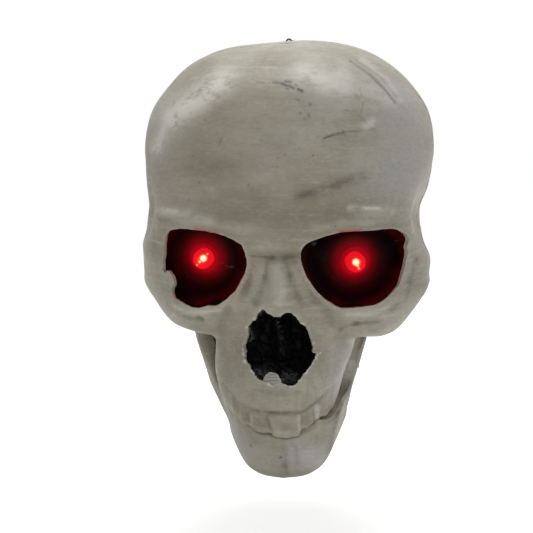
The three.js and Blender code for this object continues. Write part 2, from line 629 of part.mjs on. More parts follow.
// Hollow-backed section of the jaw: an outer wall with a lip turned in along the top and the bottom edge
function jawRing(share) {
  const place = jawPlace(share);
  const step = 0.5 / jawSteps;
  const ahead = jawPlace(Math.min(1, share + step)).base;
  const behind = jawPlace(Math.max(-1, share - step)).base;
  const run = new THREE.Vector3().subVectors(ahead, behind).normalize();
  const inward = at(-run.y, run.x, 0);
  const tall = place.top - place.low;
  const chin = bell(share, chinShare);
  const inner = Math.max(jawWall + jawLip.over, place.flange);
  const [lipLow, lipTop] = [place.low + jawWall, place.top - jawWall];
  const outside = jawFace.map(([deep, atChin, up]) => [deep + atChin * chin, place.low + tall * up]);
  const inside = [[inner, place.top - jawLip.top], [inner, lipTop], [jawWall, lipTop - jawLip.fillet],
    [jawWall, lipLow + jawLip.fillet], [inner, lipLow], [inner, place.low + jawLip.low]];
  const profile = [...outside, ...inside];
  return profile.map(([deep, z]) => {
    const slant = z - flare.from - flare.ease * Math.max(0, z - flare.top);
    const point = place.base.clone().addScaledVector(inward, deep);
    point.add(at(place.side * place.lean * slant, 0, z));
    return point.add(at(askew(point), 0, 0));
  });
}

// How far aside the jaw sits at a point
function askew(point) {
  const share = (point.y - jawEnds.chin) / (jawEnds.back - jawEnds.chin);
  return along(jawAskew, 'share', 'by', share) * smooth(askewFade.high, askewFade.low, point.z);
}

function centreOf(ring) {
  const sum = ring.reduce((total, point) => total.add(point), at(0, 0, 0));
  return sum.divideScalar(ring.length);
}

function lowerJaw() {
  const rings = spread(-1, 1, jawSteps + 1).map(jawRing);
  const ends = [rings[0], rings[jawSteps]].map(centreOf);
  let jaw = solid(loft(rings, ends));
  for (const side of [-1, 1]) {
    jaw = jaw.add(across(hinge.bossRadius, side * hinge.bossIn, side * hinge.bossOut, hinge.y, hingeHeight));
    jaw = jaw.subtract(hingeBore(side));
  }
  piece('lower_jaw', jaw, 'bone');
}

function jawHinge(name, side) {
  const washerIn = hinge.bossIn - gap - washer.thick;
  const disc = across(washer.radius, side * washerIn, side * (hinge.bossIn - gap), hinge.y, hingeHeight);
  piece(`${name}_jaw_washer`, disc.subtract(hingeBore(side)), 'darkPlastic');
  const headIn = hinge.bossOut + gap;
  const headOut = headIn + hingeScrew.headThick;
  const tip = ramusSlot.inside - gap - lug.thick - hingeScrew.past;
  const shank = across(hingeScrew.shank, side * tip, side * (headIn + headOut) / 2, hinge.y, hingeHeight);
  const head = across(hingeScrew.head, side * headIn, side * headOut, hinge.y, hingeHeight);
  const slot = solidBlock(...between(side, headOut - hingeScrew.slotDeep, headOut + gap), hinge.y - far,
    hinge.y + far, hingeHeight - hingeScrew.slotHalf, hingeHeight + hingeScrew.slotHalf);
  piece(`${name}_jaw_screw`, shank.add(head).subtract(slot), 'steel');
}

// Plan of the neck at a height, drawn in by an inset
function neckRing(height, inset) {
  const share = (height - neck.bottom) / (neckTop - neck.bottom);
  const half = THREE.MathUtils.lerp(neck.halfBottom, neck.halfTop, share) - inset;
  const middle = (neck.front + neck.back) / 2;
  const deep = (neck.back - neck.front) / 2 - inset;
  const squared = (value) => Math.sign(value) * Math.abs(value) ** (2 / neck.power);
  return spread(0, 2 * Math.PI, neck.steps + 1).slice(0, -1)
    .map((turn) => at(half * squared(Math.cos(turn)), middle + deep * squared(Math.sin(turn)), height));
}

// Neck solid with its waist cut in so that the sides of the jaw can swing past it
function neckSolid(low, high, inset) {
  const middle = (neck.front + neck.back) / 2;
  const rings = [neckRing(low, inset), neckRing(high, inset)];
  let body = solid(loft(rings, [at(0, middle, low), at(0, middle, high)]));
  for (const side of [-1, 1]) {
    body = body.subtract(solidBlock(...between(side, neck.waist - inset, far), -far, neck.shoulder + inset,
      -far, far));
  }
  return body;
}

const boxHalf = cell.apart / 2 + cell.radius + gap + box.wall;
const doorHalf = boxHalf + gap;
const boxLow = neck.bottom + neck.base + gap;
const cellHeight = boxLow + cell.radius + gap;
const boxTop = cellHeight + cell.radius + gap + box.wall;
const cellFront = box.front + box.wall + contact.room;
const cellBack = cellFront + cell.length + cell.nubLong;
const boxBack = cellBack + contact.room + box.wall;
const boardLow = boxTop + board.standoff + gap;
const boardTop = boardLow + board.thick;
const boardMiddle = (box.front + boxBack) / 2;

function neckHousing() {
  let body = neckSolid(neck.bottom, neckTop + neckReach, 0);
  body = body.subtract(neckSolid(neck.bottom + neck.base, neckTop + 2 * neckReach, neck.wall));
  body = body.subtract(headSolid(-gap, fineCounts));
  for (const side of [-1, 1]) {
    for (const [x, y] of post.places) {
      body = body.add(upright(post.radius, side * x, y, neck.bottom + neck.base / 2, neckTop));
      body = body.subtract(upright(post.bore, side * x, y, neck.bottom - gap, post.seat));
      body = body.subtract(upright(post.hole, side * x, y, neck.bottom, base));
    }
  }
  const doorRun = neck.back + far;
  const tongueLow = neck.bottom + door.tongueUp - gap;
  const grooveHalf = doorHalf + door.tongue + gap;
  const mouthHalf = doorHalf + gap;
  body = body.subtract(solidBlock(-mouthHalf, mouthHalf, door.front - gap, boxBack + gap, -far, boxLow));
  body = body.subtract(solidBlock(-mouthHalf, mouthHalf, boxBack, doorRun, -far,
    neck.bottom + door.thick + gap));
  body = body.subtract(solidBlock(-grooveHalf, grooveHalf, door.front - gap, doorRun, tongueLow,
    tongueLow + door.tongueThick + 2 * gap));
  const [knobWide, knobTall] = slide.knob;
  const slotHalf = (knobWide + slide.travel) / 2 + gap;
  const slot = solidBlock(slide.x - slotHalf, slide.x + slotHalf, neck.back - 3 * neck.wall, far,
    switchHeight - knobTall / 2 - gap, switchHeight + knobTall / 2 + gap);
  piece('neck_housing', body.subtract(slot), 'bone');
}

function neckScrews() {
  let count = 0;
  for (const [x, y] of post.places) {
    for (const side of [-1, 1]) {
      count += 1;
      const headTop = post.seat - gap;
      const headLow = headTop - postScrew.headThick;
      const head = upright(postScrew.head, side * x, y, headLow, headTop);
      const tip = headTop + postScrew.length;
      const shank = upright(postScrew.shank, side * x, y, (headLow + headTop) / 2, tip);
      piece(`neck_screw_${count}`, head.add(shank), 'steel');
    }
  }
}

function cellBox() {
  let body = solidBlock(-boxHalf, boxHalf, box.front, boxBack, boxLow, boxTop);
  body = body.add(solidBlock(-boxHalf - box.flange, boxHalf + box.flange, box.front - box.flange,
    boxBack + box.flange, boxLow, boxLow + box.wall));
  const roomHalf = boxHalf - box.wall;
  body = body.subtract(solidBlock(-roomHalf, roomHalf, box.front + box.wall, boxBack - box.wall, neck.bottom,
    boxTop - box.wall));
  for (const side of [-1, 1]) {
    const [x, y] = boardScrewPlace(side);
    body = body.add(upright(boardScrew.head, x, y, boxTop - box.wall / 2, boxTop + board.standoff));
    body = body.subtract(upright(boardScrew.shank + gap, x, y, boxTop, boardTop));
  }
  piece('cell_box', body, 'darkPlastic');
}

const boardScrewPlace = (side) => [side * (board.half - board.edge),
  boardMiddle + side * (board.deep / 2 - board.edge)];

function cells() {
  for (const side of [-1, 1]) {
    const x = (side * cell.apart) / 2;
    const [plain, nubTip] = side < 0 ? [cellFront, cellBack] : [cellBack, cellFront];
    const step = Math.sign(nubTip - plain);
    const shoulder = plain + step * cell.length;
    const body = solid(rod(cell.radius, at(x, plain, cellHeight), at(x, shoulder, cellHeight)));
    const nub = solid(rod(cell.nub, at(x, shoulder - step, cellHeight), at(x, nubTip, cellHeight)));
    piece(side < 0 ? 'left_cell' : 'right_cell', body.add(nub), 'cellWrap');
  }
}

// Bridge across the front ends of the cells, and a tab behind each cell
function contacts() {
  const low = cellHeight - cell.radius / 2;
  const high = cellHeight + cell.radius / 2;
  const frontFace = box.front + box.wall + gap;
  const backFace = boxBack - box.wall - gap;
  const plateHalf = boxHalf - box.wall - gap;
  const bridgeBack = frontFace + contact.thick;
  piece('cell_bridge', block(-plateHalf, plateHalf, frontFace, bridgeBack, low, high), 'steel');
  const endTab = (x0, x1) => block(x0, x1, backFace - contact.thick, backFace, low, high);
  piece('left_cell_contact', endTab(-plateHalf, -contact.half), 'steel');
  piece('right_cell_contact', endTab(contact.half, plateHalf), 'steel');
}

function cellDoor() {
  const back = neck.back - gap;
  const plate = solidBlock(-doorHalf, doorHalf, door.front, back, neck.bottom, neck.bottom + door.thick);
  const tongueHalf = doorHalf + door.tongue;
  const tongueLow = neck.bottom + door.tongueUp;
  const tongue = solidBlock(-tongueHalf, tongueHalf, door.front, back - neck.wall, tongueLow,
    tongueLow + door.tongueThick);
  let body = plate.add(tongue);
  for (let i = 0; i < grip.count; i += 1) {
    const y = back - grip.back - grip.pitch * i;
    body = body.subtract(solidBlock(-grip.halfWide, grip.halfWide, y - grip.half, y + grip.half,
      neck.bottom - gap, neck.bottom + grip.deep));
  }
  piece('cell_door', body, 'bone');
}

function circuitBoard() {
  const [front, back] = [boardMiddle - board.deep / 2, boardMiddle + board.deep / 2];
  let body = solidBlock(-board.half, board.half, front, back, boardLow, boardTop);
  for (const side of [-1, 1]) {
    const [x, y] = boardScrewPlace(side);
    body = body.subtract(upright(boardScrew.shank + gap, x, y, boardLow - gap, boardTop + gap));
  }
  piece('circuit_board', body, 'board');
}

function boardFittings(name, side) {
  const [x, y] = boardScrewPlace(side);
  const headLow = boardTop + gap;
  const headTop = headLow + boardScrew.headThick;
  const head = upright(boardScrew.head, x, y, headLow, headTop);
  const shank = upright(boardScrew.shank, x, y, headLow - boardScrew.length, (headLow + headTop) / 2);
  piece(`${name}_board_screw`, head.add(shank), 'steel');
  const height = boardTop + gap + resistor.radius;
  const [front, back] = [boardMiddle - resistor.length / 2, boardMiddle + resistor.length / 2];
  piece(`${name}_resistor`, rod(resistor.radius, at(side * resistor.x, front, height),
    at(side * resistor.x, back, height)), 'cellWrap');
}

const switchHeight = neck.bottom + slide.up;

// Slide switch on the inside of the neck's back wall, drawn with its knob at the lit end
function slideSwitch() {
  const [wide, deep, tall] = slide.body;
  const [knobWide, knobTall] = slide.knob;
  const face = neck.back - neck.wall - 3 * gap;
  const bodySolid = solidBlock(slide.x - wide / 2, slide.x + wide / 2, face - deep, face,
    switchHeight - tall / 2, switchHeight + tall / 2);
  const trackHalf = (knobWide + slide.travel) / 2 + gap;
  const track = solidBlock(slide.x - trackHalf, slide.x + trackHalf, face - slide.root - gap, far,
    switchHeight - knobTall / 2 - gap, switchHeight + knobTall / 2 + gap);
  piece('switch_body', bodySolid.subtract(track), 'darkPlastic');
  const knobX = slide.x + slide.travel / 2;
  piece('switch_knob', block(knobX - knobWide / 2, knobX + knobWide / 2, face - slide.root,
    neck.back + slide.proud, switchHeight - knobTall / 2, switchHeight + knobTall / 2), 'darkPlastic');
}

// Height of the crown on the middle plane at a depth
function crownHeight(y, inset) {
  let [low, high] = [level.forehead, level.crown - inset];
  for (let i = 0; i < 24; i += 1) {
    const middle = (low + high) / 2;
    if (skin(middle, Math.PI / 2, inset).y < y) low = middle;
    else high = middle;
  }
  return low;
}

// Wire eye through the crown, held inside by a washer on its clinched end
function hangingEye() {
  const washerTop = padLow - gap;
  const washerLow = washerTop - eye.washerThick;
  const foot = washerLow - gap;
  const ring = new THREE.TorusGeometry(eye.ring, eye.wire, eye.wireSides, eye.ringSteps);
  ring.rotateX(Math.PI / 2).translate(0, eye.y, eyeHeight);
  const shank = upright(eye.wire, 0, eye.y, foot - eye.wire, eyeHeight - eye.ring);
  const clinch = upright(eye.foot, 0, eye.y, foot - eye.footThick, foot);
  piece('hanging_eye', solid(ring).add(shank).add(clinch), 'steel');
  const disc = upright(eye.washer, 0, eye.y, washerLow, washerTop);
  piece('eye_washer', disc.subtract(upright(eye.hole, 0, eye.y, foot, level.crown)), 'steel');
}

shells();
eyeCup('left_eye_cup', leftEyeOutline, -1);
eyeCup('right_eye_cup', rightEyeOutline, 1);
noseLiner();
['left', 'right'].forEach((name, index) => {
  const side = index ? 1 : -1;
  lampHolder(`${name}_lamp_holder`, side);
  redLamp(`${name}_lamp`, side);
  lampLead(`${name}_lamp_lead`, side);
  jawHinge(name, side);
  boardFittings(name, side);
});
lowerJaw();
neckHousing();
neckScrews();
cellBox();
cells();
contacts();
cellDoor();
circuitBoard();
slideSwitch();
hangingEye();

// The origin is where a hook bears, inside the top of the eye
skull.position.set(0, -eye.y, eye.wire - eye.ring - eyeHeight);

export default skull;
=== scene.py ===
import json
import math

import bmesh
import bpy
import numpy as np
from mathutils import Matrix, Vector, noise
from mathutils.bvhtree import BVHTree


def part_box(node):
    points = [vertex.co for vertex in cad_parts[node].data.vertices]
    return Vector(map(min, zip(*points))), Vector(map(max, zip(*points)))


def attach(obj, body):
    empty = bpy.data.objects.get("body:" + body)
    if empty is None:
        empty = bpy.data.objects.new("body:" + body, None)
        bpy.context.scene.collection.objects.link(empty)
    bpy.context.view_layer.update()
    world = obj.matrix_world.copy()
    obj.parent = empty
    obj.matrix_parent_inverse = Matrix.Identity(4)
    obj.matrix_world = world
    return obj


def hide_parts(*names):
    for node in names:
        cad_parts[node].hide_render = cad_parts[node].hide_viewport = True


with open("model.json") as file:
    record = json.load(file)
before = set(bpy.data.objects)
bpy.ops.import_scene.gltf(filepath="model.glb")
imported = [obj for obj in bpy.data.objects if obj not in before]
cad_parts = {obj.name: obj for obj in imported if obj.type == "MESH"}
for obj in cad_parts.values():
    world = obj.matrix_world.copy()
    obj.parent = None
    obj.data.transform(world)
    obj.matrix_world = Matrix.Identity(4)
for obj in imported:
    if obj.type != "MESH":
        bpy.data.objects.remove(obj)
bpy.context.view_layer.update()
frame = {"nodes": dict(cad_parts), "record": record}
scene = bpy.context.scene
scene.view_settings.view_transform = "Standard"
noise.seed_set(3)  # the same torn edges on every run
print("frame loaded:", len(frame["nodes"]), "nodes")

# Shapes below are in millimetres, with heights above the chin and y = 0 in the middle of the head.
# The neck's box in the frame says where that lies in the part.
mm = 0.001
neck = {"bottom": 36, "back": 52}
neckLow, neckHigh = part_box("neck_housing")
shift = Vector((0, neckHigh.y / mm - neck["back"], neckLow.z / mm - neck["bottom"]))
toPart = Matrix.Scale(mm, 4) @ Matrix.Translation(shift)
weldGap = 0.001  # points closer than this are one
cutGap = 0.0001
sharpAngle = 50  # in degrees, edges bent by more stay crisp


def put(x, y, z):
    return toPart @ Vector((x, y, z))


def smooth(low, high, value):
    t = min(1, max(0, (value - low) / (high - low)))
    return t * t * (3 - 2 * t)


# The same ease for whole arrays
def ease(t):
    t = np.clip(t, 0, 1)
    return t * t * (3 - 2 * t)


# Heights on a line drawn through a few points (across, up)
def lineAt(points, x):
    return np.interp(x, *zip(*points))


def bell(offset, width):
    return math.exp(-((offset / width) ** 2))


def mix(a, b, t):
    return a + (b - a) * t


# Value of one column of a table at a place along it, on a curve that never overshoots its points
def along(table, key, field, place):
    last = len(table) - 1
    if place <= table[0][key]:
        return table[0][field]
    if place >= table[last][key]:
        return table[last][field]
    i = 0
    while place > table[i + 1][key]:
        i += 1

    def slope(k):
        return (table[k + 1][field] - table[k][field]) / (table[k + 1][key] - table[k][key])

    def tangent(k):
        if k == 0 or k == last:
            return slope(min(k, last - 1))
        before, after = slope(k - 1), slope(k)
        return 0 if before * after <= 0 else 2 * before * after / (before + after)

    run = table[i + 1][key] - table[i][key]
    t = (place - table[i][key]) / run
    return ((2 * t ** 3 - 3 * t ** 2 + 1) * table[i][field] + (t ** 3 - 2 * t ** 2 + t) * run * tangent(i)
            + (3 * t ** 2 - 2 * t ** 3) * table[i + 1][field] + (t ** 3 - t ** 2) * run * tangent(i + 1))


# Closed smooth curve through a few points
def loopCurve(points, steps):
    count = len(points)
    result = []
    for i in range(count):
        p0, p1, p2, p3 = (Vector(points[(i + k) % count]) for k in (-1, 0, 1, 2))
        for s in range(steps):
            t = s / steps
            result.append(0.5 * (2 * p1 + (p2 - p0) * t + (2 * p0 - 5 * p1 + 4 * p2 - p3) * t * t
                                 + (3 * p1 - p0 - 3 * p2 + p3) * t ** 3))
    return result


# Materials

def newMaterial(name):
    material = bpy.data.materials.new(name)
    material.use_nodes = True
    nodes = material.node_tree.nodes
    return material, nodes, material.node_tree.links, nodes["Principled BSDF"]


def addNode(nodes, kind, **settings):
    node = nodes.new(kind)
    for key, value in settings.items():
        if key in node.inputs:
            node.inputs[key].default_value = value
        else:
            setattr(node, key, value)
    return node


def addRamp(nodes, links, source, stops):
    ramp = nodes.new("ShaderNodeValToRGB")
    elements = ramp.color_ramp.elements
    while len(elements) < len(stops):
        elements.new(0.5)
    for element, (place, colour) in zip(elements, sorted(stops, key=lambda stop: stop[0])):
        element.position = place
        element.color = colour if len(colour) == 4 else (*colour, 1)
    links.new(source, ramp.inputs["Fac"])
    return ramp.outputs["Color"]


def addMix(nodes, links, amount, a, b, blend="MIX"):
    node = nodes.new("ShaderNodeMix")
    node.data_type = "RGBA"
    node.blend_type = blend
    sockets = node.inputs
    for socket, value in ((sockets[0], amount), (sockets[6], a), (sockets[7], b)):
        if hasattr(value, "is_output"):
            links.new(value, socket)
        elif isinstance(value, (int, float)):
            socket.default_value = value
        else:
            socket.default_value = (*value, 1)
    return node.outputs[2]


def addNoise(nodes, links, scale, detail=4, rough=0.55, stretch=(1, 1, 1), turn=(0, 0, 0), distort=0):
    place = nodes.new("ShaderNodeTexCoord")
    mapping = addNode(nodes, "ShaderNodeMapping")
    mapping.inputs["Scale"].default_value = stretch
    mapping.inputs["Rotation"].default_value = turn
    links.new(place.outputs["Object"], mapping.inputs["Vector"])
    texture = addNode(nodes, "ShaderNodeTexNoise", Scale=scale, Detail=detail, Roughness=rough,
                      Distortion=distort)
    links.new(mapping.outputs["Vector"], texture.inputs["Vector"])
    return texture.outputs["Fac"]


def grey(value):
    return (value, value, value)


# Black to grey as a value goes from low to high, for use as the amount of a mix
def addMask(nodes, links, source, low, high, most=1.0):
    return addRamp(nodes, links, source, [(low, grey(0)), (high, grey(most))])


# What was painted on the points of a piece
def painted(nodes, name):
    return addNode(nodes, "ShaderNodeAttribute", attribute_name=name).outputs["Fac"]


def addBump(nodes, links, shader, height, strength, distance):
    bump = addNode(nodes, "ShaderNodeBump", Strength=strength, Distance=distance)
    links.new(height, bump.inputs["Height"])
    links.new(bump.outputs["Normal"], shader.inputs["Normal"])


# Colours of the bone paint: 'gloss' is the colour of painted highlights and 'lit' of painted red lamplight;
# the dark brown paints shade in hollows and creases, and also dark specks
boneLook = {"base": (0.355, 0.324, 0.252), "pale": (0.50, 0.47, 0.38), "shade": (0.276, 0.244, 0.180),
            "shade_and_speck_brown": (0.080, 0.064, 0.045), "cool": (0.40, 0.392, 0.372), "gloss": (0.84, 0.82, 0.74),
            "warm": (0.32, 0.266, 0.205), "mark": (0.03, 0.026, 0.021), "lit": (0.5, 0.04, 0.045)}


def bonePaint():
    look = boneLook
    material, nodes, links, shader = newMaterial("bone_paint")

    def over(colour, amount, top):
        return addMix(nodes, links, amount, colour, top)

    def mask(source, low, high, most=1.0):
        return addMask(nodes, links, source, low, high, most)

    def patchy(name, source, low, high):
        return addMix(nodes, links, 1.0, painted(nodes, name), mask(source, low, high), "MULTIPLY")

    broad = addNoise(nodes, links, 20, 5, 0.6, (1, 1, 1.3))
    colour = addRamp(nodes, links, broad, [(0.36, look["shade"]), (0.5, look["base"]), (0.68, look["pale"])])
    strokes = addNoise(nodes, links, 34, 8, 0.7, (1, 1, 9), (0, 0.2, 0), 0.5)
    upright = addNoise(nodes, links, 34, 6, 0.7, (5, 5, 1.2), (0, 0.12, 0), 0.8)
    brushed = over(strokes, painted(nodes, "lower"), upright)
    colour = over(colour, mask(brushed, 0.52, 0.68, 0.6), look["pale"])
    colour = over(colour, mask(brushed, 0.48, 0.33, 0.5), look["shade"])
    colour = over(colour, painted(nodes, "cool"), look["cool"])
    colour = over(colour, patchy("warm", brushed, 0.36, 0.56), look["warm"])
    # painted highlight on what stands proud, and painted shade in hollows
    relief = painted(nodes, "relief")
    colour = over(colour, mask(relief, 0.57, 0.92, 0.4), look["pale"])
    colour = over(colour, mask(relief, 0.45, 0.1, 0.6), look["shade_and_speck_brown"])
    mottle = addNoise(nodes, links, 330, 6, 0.75, (1, 1, 2.4), (0, 0.15, 0))
    colour = over(colour, mask(mottle, 0.5, 0.36, 0.34), look["shade"])
    colour = over(colour, mask(mottle, 0.52, 0.66, 0.34), look["pale"])
    hairs = addNoise(nodes, links, 95, 5, 0.65, (1, 1, 16), (0, 0.24, 0), 0.4)
    colour = over(colour, mask(hairs, 0.59, 0.68, 0.34), look["shade"])
    blotch = addNoise(nodes, links, 90, 5, 0.7, (1, 1, 2))
    # painted shade in creases and under ridges, with some real stains
    colour = over(colour, patchy("stain_and_shade", blotch, 0.3, 0.6), look["shade_and_speck_brown"])
    # painted highlights in the pale gloss colour, where the paint is also less rough
    highlight_and_gloss = patchy("highlight_and_gloss", blotch, 0.3, 0.52)
    colour = over(colour, highlight_and_gloss, look["gloss"])
    specks = addNoise(nodes, links, 480, 2, 0.5)
    colour = over(colour, mask(specks, 0.71, 0.77, 0.55), look["shade_and_speck_brown"])
    colour = over(colour, painted(nodes, "mark"), look["mark"])
    colour = over(colour, painted(nodes, "lit"), look["lit"])
    links.new(colour, shader.inputs["Base Color"])
    gloss = addRamp(nodes, links, broad, [(0.3, grey(0.6)), (0.7, grey(0.46))])
    links.new(over(gloss, highlight_and_gloss, grey(0.28)), shader.inputs["Roughness"])
    fine = addNoise(nodes, links, 260, 4, 0.6)
    addBump(nodes, links, shader, over(brushed, 0.4, fine), 0.35, 0.6 * mm)
    return material


# Colours of the black sheet: bright flecks are painted glints standing in for reflections, the pale grey is
# dust and a painted highlight on the nose liner, and the red is painted lamplight
sheetLook = {"dark": (0.0022, 0.0020, 0.0020), "pale": (0.0052, 0.0048, 0.0048), "painted_glint": (0.1, 0.09, 0.088),
             "dust_and_glint": (0.34, 0.34, 0.33), "lit": (0.72, 0.002, 0.012)}


def blackSheet():
    look = sheetLook
    material, nodes, links, shader = newMaterial("black_sheet")
    tone = addNoise(nodes, links, 60, 3)
    colour = addRamp(nodes, links, tone, [(0.3, look["dark"]), (0.7, look["pale"])])
    # painted glints: small bright flecks where the crumpled sheet would reflect
    glintNoise = addNoise(nodes, links, 48, 5, 0.6, (1, 1, 3.2), (0.3, 0.5, 0.2), 0.6)
    colour = addMix(nodes, links, addMask(nodes, links, glintNoise, 0.665, 0.72), colour, look["painted_glint"])
    # pale dust, and a painted highlight, on the nose liner
    speckle = addMask(nodes, links, addNoise(nodes, links, 420, 4, 0.7), 0.46, 0.56)
    dustAndGlint = addMix(nodes, links, 1.0, painted(nodes, "dust_and_glint"), speckle, "MULTIPLY")
    colour = addMix(nodes, links, dustAndGlint, colour, look["dust_and_glint"])
    links.new(colour, shader.inputs["Base Color"])
    gloss = addRamp(nodes, links, tone, [(0.3, grey(0.36)), (0.7, grey(0.6))])
    links.new(gloss, shader.inputs["Roughness"])
    shader.inputs["Specular IOR Level"].default_value = 0.03
    lit = addRamp(nodes, links, painted(nodes, "glow"), [(0.0, grey(0)), (1.0, look["lit"])])
    links.new(lit, shader.inputs["Emission Color"])
    shader.inputs["Emission Strength"].default_value = 1
    addBump(nodes, links, shader, addNoise(nodes, links, 70, 3, 0.5, distort=1.2), 0.5, 1.2 * mm)
    return material


# Colours of the lens from its dark edge to the bright wire
lensLook = {"base": (0.22, 0.002, 0.003, 1),
            "lit": [(0.0, (0.36, 0.001, 0.005)), (0.2, (0.8, 0.006, 0.015)), (0.45, (0.86, 0.03, 0.025)),
                    (0.65, (0.92, 0.22, 0.06)), (0.85, (1.0, 0.72, 0.3)), (1.0, (1.0, 0.93, 0.62))]}


def redLens():
    material, nodes, links, shader = newMaterial("red_lens")
    colour = addRamp(nodes, links, painted(nodes, "core"), lensLook["lit"])
    links.new(colour, shader.inputs["Emission Color"])
    shader.inputs["Base Color"].default_value = lensLook["base"]
    shader.inputs["Emission Strength"].default_value = 1
    shader.inputs["Roughness"].default_value = 0.08
    return material


def plainFinish(name, low, high, rough, metal=0.0, scale=180, bumpBy=0.2):
    material, nodes, links, shader = newMaterial(name)
    tone = addNoise(nodes, links, scale, 4)
    links.new(addRamp(nodes, links, tone, [(0.3, low), (0.7, high)]), shader.inputs["Base Color"])
    gloss = addRamp(nodes, links, tone, [(0.3, grey(rough - 0.08)), (0.7, grey(rough + 0.08))])
    links.new(gloss, shader.inputs["Roughness"])
    shader.inputs["Metallic"].default_value = metal
    addBump(nodes, links, shader, tone, 0.3, bumpBy * mm)
    return material


finishes = {
    "bone": bonePaint(),
    "black_liner": blackSheet(),
    "red_lens": redLens(),
    "dark_plastic": plainFinish("moulded_black", (0.012, 0.012, 0.013), (0.03, 0.03, 0.032), 0.45),
    "steel": plainFinish("zinc_plate", (0.42, 0.42, 0.43), (0.66, 0.66, 0.68), 0.35, 1.0, 320, 0.05),
    "board": plainFinish("green_laminate", (0.02, 0.09, 0.035), (0.03, 0.13, 0.05), 0.42),
    "cell_wrap": plainFinish("cell_wrap", (0.02, 0.026, 0.034), (0.05, 0.06, 0.075), 0.3, 0.2, 90),
    "resistor_body": plainFinish("resistor_lacquer", (0.30, 0.19, 0.09), (0.42, 0.29, 0.15), 0.4),
    "lead_insulation": plainFinish("lead_insulation", (0.10, 0.006, 0.006), (0.2, 0.012, 0.01), 0.5),
}
for entry in frame["record"]["subparts"]:
    node = frame["nodes"][entry["node"]]
    node.data.materials.clear()
    node.data.materials.append(finishes[entry["material_slot"]])
print("finishes made:", len(finishes))


# A finished mesh in millimetres becomes a piece in the part's frame
def makePiece(name, shape, body, nodes, slot, wallBy=0):
    bmesh.ops.transform(shape, matrix=toPart, verts=shape.verts)
    mesh = bpy.data.meshes.new(name)
    shape.to_mesh(mesh)
    shape.free()
    piece = bpy.data.objects.new(name, mesh)
    scene.collection.objects.link(piece)
    if wallBy:
        wall = piece.modifiers.new("wall", "SOLIDIFY")
        wall.thickness = wallBy * mm
        wall.offset = -1
        graph = bpy.context.evaluated_depsgraph_get()
        walled = bpy.data.meshes.new_from_object(piece.evaluated_get(graph))
        piece.modifiers.clear()
        piece.data = walled
    piece.data.polygons.foreach_set("use_smooth", [True] * len(piece.data.polygons))
    piece.data.set_sharp_from_angle(angle=math.radians(sharpAngle))
    piece.data.materials.clear()
    piece.data.materials.append(finishes[slot])
    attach(piece, body)
    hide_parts(*nodes)
    print("piece", name, len(piece.data.polygons), "faces")
    return piece
